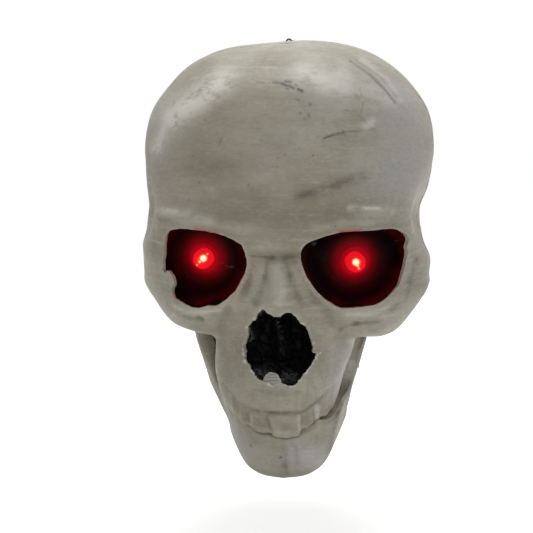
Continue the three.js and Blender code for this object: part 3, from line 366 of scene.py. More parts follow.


# Hand painting, with painted light and shade, as strokes on the front: from and to (across, up), width,
# strength
paintStrokes = {
    # darker paint: real stains on the forehead, painted shade everywhere below it
    "stain_and_shade": [
        # forehead
        ((9, 140), (38, 149), 2.8, 0.75), ((-12, 142), (-9, 137), 4, 0.4), ((-40, 152), (0, 160), 9, 0.28),
        ((-45, 141), (-15, 140), 4, 0.22),
        # painted shade under the brows
        ((-60, 126.4), (-41, 125.6), 1.7, 0.3), ((-41, 125.6), (-29, 123.4), 1.5, 0.2),
        ((46, 126.2), (61, 124), 1.5, 0.24),
        # painted shade in the crease at the root of the nose and along its sides
        ((-13, 112.8), (9.7, 112.6), 1.6, 0.32), ((-5.4, 109.8), (-6.9, 101), 2.2, 0.13),
        ((-6.9, 101), (-11.8, 87.3), 2.8, 0.13), ((1.4, 109.8), (4.7, 102.2), 2.4, 0.14),
        ((4.7, 102.2), (8.4, 93), 2.8, 0.14), ((-10, 89), (-16, 84), 2.8, 0.2),
        ((14, 70), (19, 60), 2.5, 0.2),
        # painted shade below the left cheekbone and along the outer rim of the eye
        ((-63.5, 120), (-65, 108), 1.1, 0.35), ((-56, 86), (-50, 80), 1.3, 0.3),
        ((-56, 85), (-46.2, 78.9), 1, 0.34),
        ((-47, 79.8), (-38.5, 78.6), 1.2, 0.36), ((-46.2, 78.9), (-37, 77), 1, 0.3),
        ((-37, 77), (-33.4, 79.8), 0.9, 0.24), ((-30, 79.5), (-47, 73.5), 2.4, 0.12),
        ((-28, 82), (-31, 74), 1.2, 0.2),
        # painted shade below the right cheekbone and along the outer rim of the eye
        ((63.2, 111.6), (63.9, 100.7), 1.1, 0.3), ((63.9, 100.7), (60.1, 87), 1.1, 0.25),
        ((53.4, 83.6), (56, 86.4), 1.3, 0.4), ((37, 80.4), (47, 80.6), 0.8, 0.2),
        ((31, 77), (45.3, 78.6), 1.4, 0.36),
        ((27, 79), (46, 73.5), 2.4, 0.15), ((24, 84), (30, 74), 4, 0.14),
        # painted shadow along the line of the gum
        ((-17, 38.2), (-14.2, 37.2), 0.8, 0.7), ((-14.2, 37.2), (-7.5, 36.4), 0.8, 0.9),
        ((-7.5, 36.4), (10.8, 36.2), 0.8, 0.95), ((10.8, 36.2), (15.1, 39), 0.8, 0.9),
        ((15.1, 39), (20, 42.8), 0.9, 0.8), ((18.6, 40.4), (18.8, 41.8), 1.4, 0.7),
        # painted shade between the teeth
        ((-20.2, 39.4), (-20, 34.6), 0.7, 0.45), ((-15, 35.4), (-15, 30.2), 0.7, 0.45),
        ((-5.8, 34.6), (-3.6, 27.2), 1, 0.45), ((10.6, 34.4), (10.8, 27.2), 0.7, 0.35),
        ((16.2, 37), (16.6, 30.8), 0.7, 0.4),
        # brown on the teeth, and painted shade along their biting edge
        ((-22.6, 40), (-21.6, 36), 1.6, 0.35), ((-18, 37.4), (-16.6, 31.4), 2.2, 0.3),
        ((-9.5, 33), (-7.5, 27.4), 2.4, 0.36), ((4, 29.4), (7, 27.6), 2.6, 0.34),
        ((12.8, 35.4), (13.2, 29.4), 1.8, 0.36), ((22, 42), (22.5, 37), 2.2, 0.25),
        ((-18.9, 31.2), (-11, 26.8), 0.7, 0.4), ((-11, 26.8), (2.9, 23.8), 0.7, 0.4),
        ((2.9, 23.8), (9.4, 25.6), 0.7, 0.4), ((9.4, 25.6), (16.8, 30), 0.7, 0.35),
        # painted shade low on the chin and on the sides of the jaw that turn away
        ((-30, 4), (30, 4), 4, 0.25), ((2, 9), (4, 7), 2.5, 0.3), ((-26, 16), (-15, 4.4), 2.2, 0.35),
        ((22.6, 9.6), (25.4, 22.7), 1.5, 0.8), ((25.4, 22.7), (27.8, 32.2), 1.7, 0.85),
        ((27.8, 32.2), (32.6, 41.2), 1.6, 0.7),
    ],
    "mark": [
        # chips high on the forehead
        ((-12, 193.2), (-8.4, 192.7), 0.5, 0.45), ((-7, 192.9), (-5.6, 192.8), 0.3, 0.5),
        ((-4.4, 193), (-1.6, 192.8), 0.5, 0.7), ((-0.4, 192.6), (2.6, 191.4), 0.6, 1.0),
        ((3.8, 191.3), (5.8, 190.1), 0.6, 0.9), ((7.8, 189.8), (9.8, 189), 0.7, 1.0),
        ((1.6, 193.5), (4.2, 193.1), 0.5, 0.8), ((2.4, 190.2), (3.4, 189.9), 0.5, 0.6),
        ((6.4, 191.8), (7.2, 191.4), 0.45, 0.6), ((7.4, 185), (8.4, 184.6), 0.4, 0.5),
        ((13.7, 183), (13.8, 182.4), 0.5, 0.6), ((9, 179), (9.5, 178.5), 0.4, 0.6),
        ((13, 178), (13.5, 177), 0.5, 0.6), ((11, 176.4), (11.6, 175.8), 0.4, 0.4),
        # cracks on its right side
        ((20.5, 167.2), (24.6, 168.8), 0.5, 0.62), ((24.6, 168.8), (29.3, 169.9), 0.45, 0.4),
        ((29.3, 169.9), (37, 170.6), 0.4, 0.26), ((32, 203.3), (42.2, 196.1), 0.6, 0.36),
        ((42.2, 196.1), (49.6, 188.9), 0.7, 0.46), ((49.6, 188.9), (54, 183.1), 0.6, 0.42),
        ((35, 203.6), (46, 196.4), 0.4, 0.26), ((46, 196.4), (55, 186), 0.45, 0.26),
        ((37, 190), (37.8, 186.4), 0.4, 0.24), ((35.4, 187), (37, 185.2), 0.35, 0.24),
        ((38.6, 183.4), (37.6, 179), 0.4, 0.24), ((37, 177), (40, 174.4), 0.4, 0.2),
        # specks, scratches in the flap below the nose, and a painted shadow line in the crease at its root
        ((38, 158), (38.4, 157.6), 0.5, 0.6), ((-28, 166), (-27.6, 165.4), 0.5, 0.5),
        ((0.5, 14), (0.7, 13.8), 0.6, 0.8), ((-14, 18.5), (-13.7, 18.4), 0.6, 0.7),
        ((18, 23), (18.4, 22.8), 0.5, 0.5),
        ((-7, 51), (-1, 51.4), 0.3, 0.6), ((-6.6, 52.6), (-1.4, 52.8), 0.3, 0.55),
        ((-5.4, 53.9), (-2, 54), 0.3, 0.5),
        ((-11, 110.9), (9.7, 110.7), 0.5, 0.22),
    ],
    "lit": [  # red light on the edges of the sockets
        ((-41, 123.6), (-30, 122), 0.8, 0.75), ((28.3, 123.4), (37.7, 124), 0.7, 0.75),
        ((-13.3, 108.9), (-14.9, 99.7), 1.1, 0.1), ((-14.9, 99.7), (-23.1, 91.2), 1.5, 0.16),
        ((9.4, 106), (14, 97.6), 1.2, 0.08),
    ],
    "warm": [
        # forehead and chin
        ((-45, 150), (-5, 158), 22, 0.75), ((-40, 175), (-10, 178), 12, 0.5), ((-20, 142), (20, 134), 8, 0.4),
        ((-12, 12), (-2, 8), 6, 0.35),
        # teeth
        ((-18, 37.4), (-17, 32.4), 2, 0.7), ((-11, 33), (-8, 28), 3, 0.8), ((-2, 33), (6, 32), 4, 0.7),
        ((3, 30.4), (7, 27.2), 3.4, 1.0), ((12.8, 35.4), (13.4, 29.4), 2, 0.7),
        ((20, 39.4), (22, 36.4), 2, 0.6),
    ],
    # painted highlights: the glossy patch on the forehead, the lit tops of the brows, the bridge of the nose,
    # the lower rims of the eyes, teeth and chin; the paint is also glossier there
    "highlight_and_gloss": [
        # crown and forehead
        ((-54, 176), (-30, 193), 7, 0.9), ((-63, 160), (-55, 176), 4, 0.6), ((10, 196), (30, 190), 6, 0.4),
        ((28, 196), (48, 186), 7, 0.25), ((38, 204), (50, 194), 2, 0.3), ((50, 194), (57, 184), 2, 0.22),
        ((40, 172.6), (43, 174.6), 1.8, 0.45), ((43, 173), (43.6, 173.4), 0.9, 0.6),
        ((-8, 150), (6, 168), 10, 0.15),
        # brows
        ((-62, 130.4), (-46, 130.6), 1.8, 0.24), ((-46, 130.6), (-33, 128.8), 1.6, 0.16),
        ((-60, 131), (-44, 130.4), 1.9, 0.42), ((-56, 131.4), (-50, 131.2), 1.1, 0.6),
        ((-44, 130.4), (-33, 128.6), 2, 0.25), ((33, 134.4), (50, 133.4), 1.6, 0.45),
        ((38, 134.3), (46, 133.9), 0.9, 0.75), ((36, 131.2), (53, 131.8), 2, 0.25),
        # bridge of the nose and lower rims of the eyes
        ((-2, 107), (-1, 90), 3.4, 0.22), ((2, 99), (1.8, 93), 1.8, 0.3),
        ((-52, 84.2), (-42.8, 82), 0.9, 0.3),
        ((-42.8, 82), (-29.4, 84.2), 0.9, 0.34), ((31.8, 82.6), (42.9, 82.8), 0.9, 0.28),
        ((42.9, 82.8), (51.6, 85.8), 0.9, 0.24),
        # teeth and chin
        ((-13.9, 34.6), (-13.4, 30), 0.5, 0.2), ((9.3, 34.6), (9.7, 28), 0.7, 0.34),
        ((17.8, 39), (18, 32.6), 1.2, 0.3),
        ((-16, 14), (-8, 14), 7, 0.13), ((12, 14), (20, 13), 7, 0.16),
    ],
    "cool": [
        ((55, 150), (60, 190), 18, 0.8), ((30, 60), (27, 45), 8, 0.6), ((52, 90), (60, 100), 12, 0.35),
        ((9, 16), (20, 12), 7, 0.9), ((-24, 20), (-14, 14), 7, 0.7), ((-60, 150), (-66, 180), 8, 0.3),
        ((20, 185), (40, 195), 14, 0.5), ((-7, 52), (-1, 52), 3, 0.9),
    ],
    "lower": [  # where the brush went up and down
        ((-30, 40), (30, 40), 34, 1.0), ((0, 10), (0, 14), 26, 1.0),
    ],
}
# Seam: where the two halves part; a thin darker line is painted along it
seam = {"y": -28, "stain_and_shade": 0.55, "wide": 0.9}
# Where the strokes begin on the head, and how often the relief is blurred
brushing = {"from": -30, "run": 14, "rounds": 14}


def strokeWeight(places, start, end, width):
    ax, az = start
    bx, bz = end
    px, pz = places[:, 0] - ax, places[:, 2] - az
    dx, dz = bx - ax, bz - az
    t = np.clip((px * dx + pz * dz) / max(1e-6, dx * dx + dz * dz), 0, 1)
    return np.exp(-((px - t * dx) ** 2 + (pz - t * dz) ** 2) / width ** 2)


def setAttribute(piece, name, values):
    attribute = piece.data.attributes.new(name, "FLOAT", "POINT")
    attribute.data.foreach_set("value", np.clip(values, 0, 1).astype(np.float32))


# Lifts an attribute to the given amounts where they are more
def liftAttribute(piece, name, amounts):
    data = piece.data.attributes[name].data
    before = np.empty(len(data), np.float32)
    data.foreach_get("value", before)
    data.foreach_set("value", np.maximum(before, amounts).astype(np.float32))


def placesOf(piece):
    places = np.empty(len(piece.data.vertices) * 3)
    piece.data.vertices.foreach_get("co", places)
    return places.reshape(-1, 3)


# The same points in millimetres, as the shapes are written
def drawnPlaces(piece):
    return placesOf(piece) / mm - np.array(shift)


def normalsOf(piece):
    normals = np.empty(len(piece.data.vertices) * 3)
    piece.data.vertex_normals.foreach_get("vector", normals)
    return normals.reshape(-1, 3)


# How far each point stands proud of its surroundings, kept on the mesh as the attribute "relief"
def markRelief(piece, rounds, span):
    mesh = piece.data
    places = placesOf(piece)
    count = len(places)
    ends = np.empty(len(mesh.edges) * 2, np.int64)
    mesh.edges.foreach_get("vertices", ends)
    a, b = ends[0::2], ends[1::2]
    degree = np.maximum(1, np.bincount(ends, minlength=count))
    blurred = places.copy()
    for _ in range(rounds):
        total = np.stack([np.bincount(a, blurred[b, k], count) + np.bincount(b, blurred[a, k], count)
                          for k in range(3)], 1)
        blurred = 0.5 * blurred + 0.5 * total / degree[:, None]
    proud = ((places - blurred) * normalsOf(piece)).sum(1)
    setAttribute(piece, "relief", 0.5 + proud / (2 * span * mm))


def paintPiece(piece, span=0.5):
    markRelief(piece, brushing["rounds"], span)
    places = drawnPlaces(piece)
    front = np.clip((brushing["from"] - places[:, 1]) / brushing["run"], 0, 1)
    for name, strokes in paintStrokes.items():
        amount = np.zeros(len(places))
        for start, end, width, strength in strokes:
            amount = np.maximum(amount, strength * strokeWeight(places, start, end, width))
        amount *= front
        if name == "stain_and_shade":
            line = np.exp(-((places[:, 1] - seam["y"]) / seam["wide"]) ** 2)
            amount = np.maximum(amount, seam["stain_and_shade"] * line)
        setAttribute(piece, name, amount)


# Head: a ball of rings that is moved to the skin of the skull
level = {"bite": 25, "gum": 37, "floor": 70, "cheek": 80, "nape": 140, "forehead": 150, "widest": 157,
         "crown": 215}
floorStep = 0.4  # from the top of the muzzle to the floor of the head
muzzle = {"middle": -56, "back": -38, "nape": 4}
muzzleSide = 38
# By height: half width, reach to the front, depth of the widest line, reach to the back, and how square
# the face and the nape are (2 is an ellipse)
sections = [
    {"at": 25, "half": 29.1, "front": 89.5, "face": 2.1, **muzzle},
    {"at": 37, "half": 31.7, "front": 90.5, "face": 2.1, **muzzle},
    {"at": 50.2, "half": 33.3, "front": 88, "face": 2.2, **muzzle},
    {"at": 61.8, "half": 34.6, "front": 86, "face": 2.3, **muzzle},
    {"at": 69.6, "half": 35.4, "front": 85.5, "face": 2.3, **muzzle},
    {"at": 70, "half": 52, "front": 85.5, "middle": -48, "back": 46, "face": 1.9, "nape": 2.8},
    {"at": 72, "half": 58, "front": 85.5, "middle": -47, "back": 54, "face": 1.9, "nape": 2.6},
    {"at": 80, "half": 65.5, "front": 85.5, "middle": -42, "back": 66, "face": 2.05, "nape": 2.4},
    {"at": 91.5, "half": 73, "front": 86, "middle": -34, "back": 77, "face": 2.3, "nape": 2.3},
    {"at": 103, "half": 73, "front": 86, "middle": -26, "back": 84, "face": 2.5, "nape": 2.25},
    {"at": 115.9, "half": 72, "front": 87, "middle": -18, "back": 89, "face": 2.6, "nape": 2.2},
    {"at": 129, "half": 71.4, "front": 89, "middle": -12, "back": 91.5, "face": 2.6, "nape": 2.2},
    {"at": 140, "half": 73.3, "front": 89, "middle": -10, "back": 93, "face": 2.5, "nape": 2.2},
    {"at": 157, "half": 75, "front": 88, "middle": -8, "back": 93, "face": 2.4, "nape": 2.2},
]
domeCurve = {"half": ("widest", 2.34), "front": ("forehead", 2.45), "back": ("nape", 2.4)}
shoulder = {"z": 195, "tall": 12, "in": 0.027}  # the dome is drawn in a little
# Small bulges and dents of the sides: which side, height, spread up, outwards
sideBumps = [(-1, 110.5, 5, 1.6), (1, 125, 8, -1.5), (1, 104, 5, 0.8), (-1, 104, 4, -0.4)]
sideBumpRun = {"y": -32, "deep": 26}
# Smoothing below the cheekbones and beside the nose
fillet = {"low": 52, "high": 88, "back": -36, "rounds": 14, "wide": 36, "front": -62, "frontRounds": 110}
# Points round the front and the back, and rings in each stretch
headMesh = {"front": 164, "back": 72, "palate": 8, "muzzle": 60, "floor": 9, "face": 84, "dome": 44}
# The bite, the base and the palate rise towards the back
rises = {"bite": 12, "biteRun": 28, "base": 8, "baseFrom": -60, "baseTo": -40, "baseFade": 35, "palate": 16,
         "vault": 4}

# Across, up, spread across and up, outwards, forwards; each is on both sides
swellings = [
    (22, 125, 11, 5, 0, 2.5), (43, 128, 14, 5, 0, 4), (60, 122, 7, 8, 0.5, 4), (0, 122, 12, 6, 0, 1),
    (0, 111, 13, 4, 0, -2), (0, 98, 7, 11, 0, 4), (0, 87, 8, 7, 0, 4), (16, 97, 6, 10, 0, -3),
    (38, 104, 22, 15, 0, -5), (50, 83, 13, 8, 1.5, 3), (30, 66, 9, 11, 0, -4.5), (19, 46, 4.5, 11, 0.5, 1.2),
    (32, 165, 20, 18, 0, 2),
]
templeHollow = {"y": -42, "z": 128, "deep": 14, "tall": 16, "in": 3.5}
archSwell = {"y": -18, "z": 103, "deep": 26, "tall": 6, "out": 1.5}
faceFade = (-15, -38)  # the forms of the face come in between these depths
crownDip = {"by": 1.7, "x": -13, "wide": 17, "low": 188}
# How the two sides of the head differ
lopsided = {"out": 0.9, "muzzle": -1.7, "muzzleTop": 1.2, "blend": 4, "sway": 3, "y": -20, "z": 120,
            "deep": 40, "tall": 22, "tilt": 0.03, "edge": -1.6, "edgeTall": 5, "edgeRun": 12}
# Teeth: the lines of the gum and of the biting edge, how far that edge is lifted, and the tiles between
# the lines, each by its left and right side at the gum and at the bite, and how proud it stands
teeth = {
    "gum": [(-29, 47), (-23.5, 43.2), (-20.3, 41.2), (-13.8, 37.2), (-8.7, 36), (0, 36.5), (10.3, 36.2),
            (14.5, 38.4), (19.1, 41.4), (21.4, 44.6), (26, 46.8)],
    "bite": [(-26, 36.6), (-20.8, 35), (-18.9, 30.5), (-14.7, 28.7), (-11, 25.9), (-4.5, 25), (2.9, 23.3),
             (9.4, 25.3), (11.3, 27.7), (16.8, 29.3), (19.6, 33.8), (25.6, 35.8)],
    "lift": [(-30, 0), (-26, 1), (-21, 4.8), (-18.9, 3.6), (-14.7, 3.2), (-11, 1.6), (-4.5, 1), (2.9, -0.2),
             (9.4, 0.8), (11.3, 2.6), (16.8, 3.8), (19.6, 5), (25.6, 1.2), (29, 0)],
    "tiles": [(-25, -20.8, -24, -20.4, 0.6), (-20, -15.4, -19.8, -15.4, 0.8), (-14.8, -7.6, -14.4, -5.2, 0.6),
              (-6.6, 10.8, -3.8, 10.6, 1.2), (11.2, 15, 11.4, 16.6, 0.5), (15.4, 19.2, 17, 19.6, 0.8),
              (19.6, 23.6, 20, 23.6, 0.6), (24, 26.6, 24, 26.6, 0.7)],
    "edge": 1.7, "gumEdge": 2.6, "crease": 0.3, "creaseWide": 1.2, "creaseUp": 0.5, "back": -58,
    "backFade": 6}


def reach(field, height):
    start, power = domeCurve[field]
    base = level[start]
    if height > base:
        rise = min(1, (height - base) / (level["crown"] - base))
        narrow = shoulder["in"] * bell(height - shoulder["z"], shoulder["tall"]) if field == "half" else 0
        return along(sections, "at", field, base) * (1 - rise ** power) ** (1 / power) * (1 - narrow)
    return along(sections, "at", field, height)


def rowAt(height):
    fade = smooth(level["crown"], level["widest"], height)
    return {"height": height, "half": reach("half", height), "front": reach("front", height),
            "back": reach("back", height), "middle": along(sections, "at", "middle", height) * fade,
            "face": along(sections, "at", "face", height), "nape": along(sections, "at", "nape", height)}


def skinPoint(row, turn):
    side, ahead = math.cos(turn), math.sin(turn)
    power = 2 / (row["face"] if ahead >= 0 else row["nape"])
    x = row["half"] * math.copysign(abs(side) ** power, side)
    span = -(row["middle"] + row["front"]) if ahead >= 0 else row["back"] - row["middle"]
    return shaped(Vector((x, row["middle"] + span * abs(ahead) ** power, row["height"])))


def biteLift(y):
    return rises["bite"] * smooth(0, rises["biteRun"], y + sections[0]["front"])


def baseLift(y):
    return rises["base"] * smooth(rises["baseFrom"], rises["baseTo"], y)


def shaped(point):
    x, y, z = point
    side = math.copysign(1, x)
    face = smooth(faceFade[0], faceFade[1], y)
    if face:
        for across, up, wide, tall, out, ahead in swellings:
            weight = face * bell(abs(x) - across, wide) * bell(z - up, tall)
            point.x += side * weight * out
            point.y -= weight * ahead
    lateral = min(1, abs(x) / sections[0]["half"]) ** 2
    hollow, arch, odd = templeHollow, archSwell, lopsided
    sway = odd["sway"] * bell(y - odd["y"], odd["deep"]) * bell(z - odd["z"], odd["tall"])
    low = mix(odd["muzzle"], odd["muzzleTop"], smooth(level["gum"], level["floor"], z))
    cheekwards = smooth(level["floor"] - odd["blend"], level["cheek"] + odd["blend"], z)
    point.x += lateral * (mix(low, odd["out"], cheekwards) - sway)
    temple = bell(y - hollow["y"], hollow["deep"]) * bell(z - hollow["z"], hollow["tall"])
    bridge = bell(y - arch["y"], arch["deep"]) * bell(z - arch["z"], arch["tall"])
    point.x += side * lateral * (arch["out"] * bridge - hollow["in"] * temple)
    beside = bell(y - sideBumpRun["y"], sideBumpRun["deep"])
    for which, up, tall, out in sideBumps:
        if which == side:
            point.x += side * lateral * out * bell(z - up, tall) * beside
    cheek = bell(z - level["floor"], odd["edgeTall"])
    cheek *= smooth(muzzleSide, muzzleSide + odd["edgeRun"], abs(x))
    point.x += odd["edge"] * cheek
    point.z -= odd["tilt"] * x * cheek
    if z < level["floor"]:
        point.z += biteLift(y) * (1 - smooth(level["bite"], level["floor"], z))
        point.z += face * lineAt(teeth["lift"], x) * smooth(level["gum"], level["bite"], z)
        point.z += baseLift(y) * smooth(level["gum"], level["floor"] - floorStep, z)
    else:
        point.z += baseLift(y) * (1 - smooth(level["floor"], level["floor"] + rises["baseFade"], z))
        dip = crownDip
        point.z -= dip["by"] * bell(x - dip["x"], dip["wide"]) * smooth(dip["low"], level["crown"], z)
    return point


def turnAt(index):
    front, back = headMesh["front"], headMesh["back"]
    return math.pi * index / front if index <= front else math.pi * (1 + (index - front) / back)


# Spreads a stretch of one column of rings evenly along its own line
def evenOut(rings, turn, first, last):
    line = [rings[i][turn] for i in range(first, last + 1)]
    lengths = np.concatenate([[0], np.cumsum([(b - a).length for a, b in zip(line, line[1:])])])
    wanted = np.linspace(0, lengths[-1], len(line))
    coords = [np.interp(wanted, lengths, [p[k] for p in line]) for k in range(3)]
    for i in range(len(line)):
        rings[first + i][turn] = Vector((coords[0][i], coords[1][i], coords[2][i]))


def headBall():
    counts = headMesh
    turns = counts["front"] + counts["back"]
    low, floor, widest, crown = level["bite"], level["floor"], level["widest"], level["crown"]
    rows = [rowAt(mix(low, floor - floorStep, i / (counts["muzzle"] - 1))) for i in range(counts["muzzle"])]
    under = [[skinPoint(row, turnAt(i)) for i in range(turns)] for row in rows]
    face = [rowAt(mix(floor, widest, i / counts["face"])) for i in range(counts["face"] + 1)]
    for i in range(1, counts["dome"]):
        lift = math.sin(math.pi / 2 * i / counts["dome"]) ** (2 / domeCurve["half"][1])
        face.append(rowAt(widest + (crown - widest) * lift))
    over = [[skinPoint(row, turnAt(i)) for i in range(turns)] for row in face]
    palateTop = Vector((0, muzzle["middle"], low + rises["palate"]))
    palate = []
    for i in range(1, counts["palate"] + 1):
        share = i / (counts["palate"] + 1)
        vault = Vector((0, 0, rises["vault"] * share * (1 - share)))
        palate.append([palateTop.lerp(p, share) + vault for p in under[0]])
    steps = counts["floor"]
    base = [[a.lerp(b, (i + 1) / (steps + 1)) for a, b in zip(under[-1], over[0])] for i in range(steps)]
    rings = palate + under + base + over
    first = len(palate) + next(i for i, row in enumerate(rows) if row["height"] > fillet["low"])
    last = next(i for i, row in enumerate(face) if row["height"] > fillet["high"])
    last += len(palate) + len(under) + len(base)
    for turn in range(turns):
        evenOut(rings, turn, first, last)
    ball = bmesh.new()
    bmesh.ops.create_uvsphere(ball, u_segments=turns, v_segments=len(rings) + 1, radius=1)
    for vert in ball.verts:
        ring = round((1 - math.acos(max(-1, min(1, vert.co.z))) / math.pi) * (len(rings) + 1)) - 1
        turn = round(math.atan2(vert.co.y, vert.co.x) / (2 * math.pi) * turns) % turns
        if ring < 0:
            vert.co = palateTop
        elif ring >= len(rings):
            vert.co = (0, 0, crown)
        else:
            vert.co = rings[ring][turn]
    bmesh.ops.recalc_face_normals(ball, faces=ball.faces)
    if ball.calc_volume(signed=True) < 0:
        bmesh.ops.reverse_faces(ball, faces=ball.faces)
    return ball


head = headBall()
print("head rings moved to the skin:", len(head.verts), "points")


def relax(shape, verts, rounds=1):
    for _ in range(rounds):
        bmesh.ops.smooth_vert(shape, verts=verts, factor=0.5, use_axis_x=True, use_axis_y=True,
                              use_axis_z=True)


underCheeks = [v for v in head.verts if fillet["low"] < v.co.z < fillet["high"] and v.co.y < fillet["back"]]
belowNose = [v for v in underCheeks if abs(v.co.x) < fillet["wide"] and v.co.y < fillet["front"]]
relax(head, underCheeks, fillet["rounds"])
relax(head, belowNose, fillet["frontRounds"])

# Finer skin where there are small marks
patches = [{"x": (-14, 16), "z": (174, 196), "cuts": 2}, {"x": (18, 46), "z": (163, 173), "cuts": 2},
           {"x": (30, 59), "z": (173, 206), "cuts": 2}, {"x": (-13, 7), "z": (88, 114), "cuts": 1},
           {"x": (-64, -30), "z": (127, 136), "cuts": 1}, {"x": (30, 56), "z": (129, 138), "cuts": 1}]
for patch in patches:
    (left, right), (low, high) = patch["x"], patch["z"]
    within = {v for v in head.verts if v.co.y < faceFade[1] and left < v.co.x < right and low < v.co.z < high}
    edges = [e for e in head.edges if e.verts[0] in within and e.verts[1] in within]
    bmesh.ops.subdivide_edges(head, edges=edges, cuts=patch["cuts"], use_grid_fill=True)

# Strokes of the modelling tool on the face: from and to (across, up), width, how far the skin comes forwards
faceStrokes = [
    # crease at the root of the nose
    ((-16, 111.6), (-3, 110.4), 1.1, -0.8), ((-3, 110.4), (10, 111.6), 1.1, -0.8),
    ((-12, 114), (8, 114), 3, 0.9),
    # bridge and sides of the nose
    ((-1.8, 108), (-1, 90), 2.8, 0.8), ((-5.4, 109.8), (-6.9, 101), 2, -0.6),
    ((-6.9, 101), (-11.8, 87.3), 2.4, -0.6), ((1.4, 109.8), (4.7, 102.2), 2, -0.6),
    ((4.7, 102.2), (9, 90), 2.4, -0.6), ((-10.4, 106), (-15.6, 90), 2.4, 0.5),
    ((6.4, 106), (13, 90), 2.4, 0.5),
    # upper edges of the brows, and the hollows above them
    ((-62, 128.5), (-34, 128), 4.6, 0.9), ((30, 130), (58, 130), 4.6, 0.9), ((-52, 137), (-25, 138), 6, -0.7),
    ((24, 139), (52, 139), 6, -0.7), ((-14, 133), (9, 133), 9, -0.9),
    # left cheek
    ((-47, 79.8), (-38.2, 79.1), 1.7, -0.9), ((-37, 80.2), (-33, 78.2), 2, 0.8),
    ((-41, 82.4), (-38.4, 79), 1.6, -0.5),
    ((-52, 80), (-44, 76.4), 3, 0.7), ((-55, 84), (-49, 80.4), 1.8, -0.7), ((-53, 86), (-36, 82.4), 2, 0.7),
    ((-64, 124.6), (-65.2, 116), 2, -0.8),
    # right cheek
    ((29, 75), (36.3, 77.7), 1.7, -0.9), ((36.3, 77.7), (47, 78), 1.7, -0.9), ((34, 81), (50, 82), 2.2, 0.8),
    ((63.4, 119), (65.2, 106.3), 2.2, -1.3), ((65.2, 106.3), (62, 97), 2.2, -1.1),
    ((55.6, 86), (50, 83.6), 1.7, -0.8),
    # folds beside the nose, and the roots of the eye teeth
    ((-25, 84), (-31, 66), 4, -0.9), ((22, 84), (30, 66), 4, -0.9), ((-19.5, 62), (-17, 42), 3.6, 0.8),
    ((18.5, 62), (17, 42), 3.6, 0.8),
    # gum
    ((-1, 47), (1, 39), 2.6, 0.5), ((-9.5, 46), (-8, 39), 2.2, -0.4), ((8.5, 46), (8.5, 39), 2.2, -0.4),
    ((-12, 46.5), (10, 46), 1.2, -0.3), ((-9, 44.4), (6, 44), 1, 0.25),
    # dents in the forehead
    ((20.5, 167.2), (29.3, 169.9), 0.7, -0.5), ((29.3, 169.9), (43.2, 170.9), 0.7, -0.4),
    ((24, 170.6), (43, 172.6), 1.4, 0.4), ((32, 203.3), (42.2, 196.1), 0.9, -0.4),
    ((42.2, 196.1), (54, 183), 0.9, -0.4), ((35, 205), (57, 184), 2.2, 0.4), ((-30, 181), (-8, 183), 5, -0.5),
    ((-38, 170), (-20, 160), 7, 0.5),
]
lumps = {"coarse": 0.045, "coarseBy": 0.55, "fine": 0.16, "fineBy": 0.14}


def toothRelief(places):
    x, z = places[:, 0], places[:, 2]
    gum, bite, edge = lineAt(teeth["gum"], x), lineAt(teeth["bite"], x), teeth["edge"]
    up = np.clip((z - bite) / (gum - bite), 0, 1)
    relief = -teeth["crease"] * np.exp(-((z - gum - teeth["creaseUp"]) / teeth["creaseWide"]) ** 2)
    for topLeft, topRight, lowLeft, lowRight, proud in teeth["tiles"]:
        left, right = mix(lowLeft, topLeft, up), mix(lowRight, topRight, up)
        below = ease((gum - z) / teeth["gumEdge"])
        relief += proud * below * ease((x - left) / edge) * ease((right - x) / edge)
    return relief * ease((teeth["back"] - places[:, 1]) / teeth["backFade"])


# Presses strokes into the front of a shape and makes its skin a little lumpy
def modelFront(shape, strokes, withTeeth=False):
    places = np.array([v.co for v in shape.verts])
    shape.normal_update()
    normals = np.array([v.normal for v in shape.verts])
    if withTeeth:
        places += normals * toothRelief(places)[:, None]
    face = np.clip((places[:, 1] - faceFade[0]) / (faceFade[1] - faceFade[0]), 0, 1)
    for start, end, width, ahead in strokes:
        places[:, 1] -= face * ahead * strokeWeight(places, start, end, width)
    for vert, place, normal in zip(shape.verts, places, normals):
        spot = Vector(place)
        lump = (noise.noise(spot * lumps["coarse"]) * lumps["coarseBy"]
                + noise.noise(spot * lumps["fine"]) * lumps["fineBy"])
        vert.co = spot + Vector(normal) * lump


modelFront(head, faceStrokes, True)
head.normal_update()
skinTree = BVHTree.FromBMesh(head)
farAhead = -200


# How far back the skin lies at a place seen from the front
def skinDepth(x, z):
    place = skinTree.ray_cast(Vector((x, farAhead, z)), Vector((0, 1, 0)))[0]
    return place.y if place else muzzle["middle"]


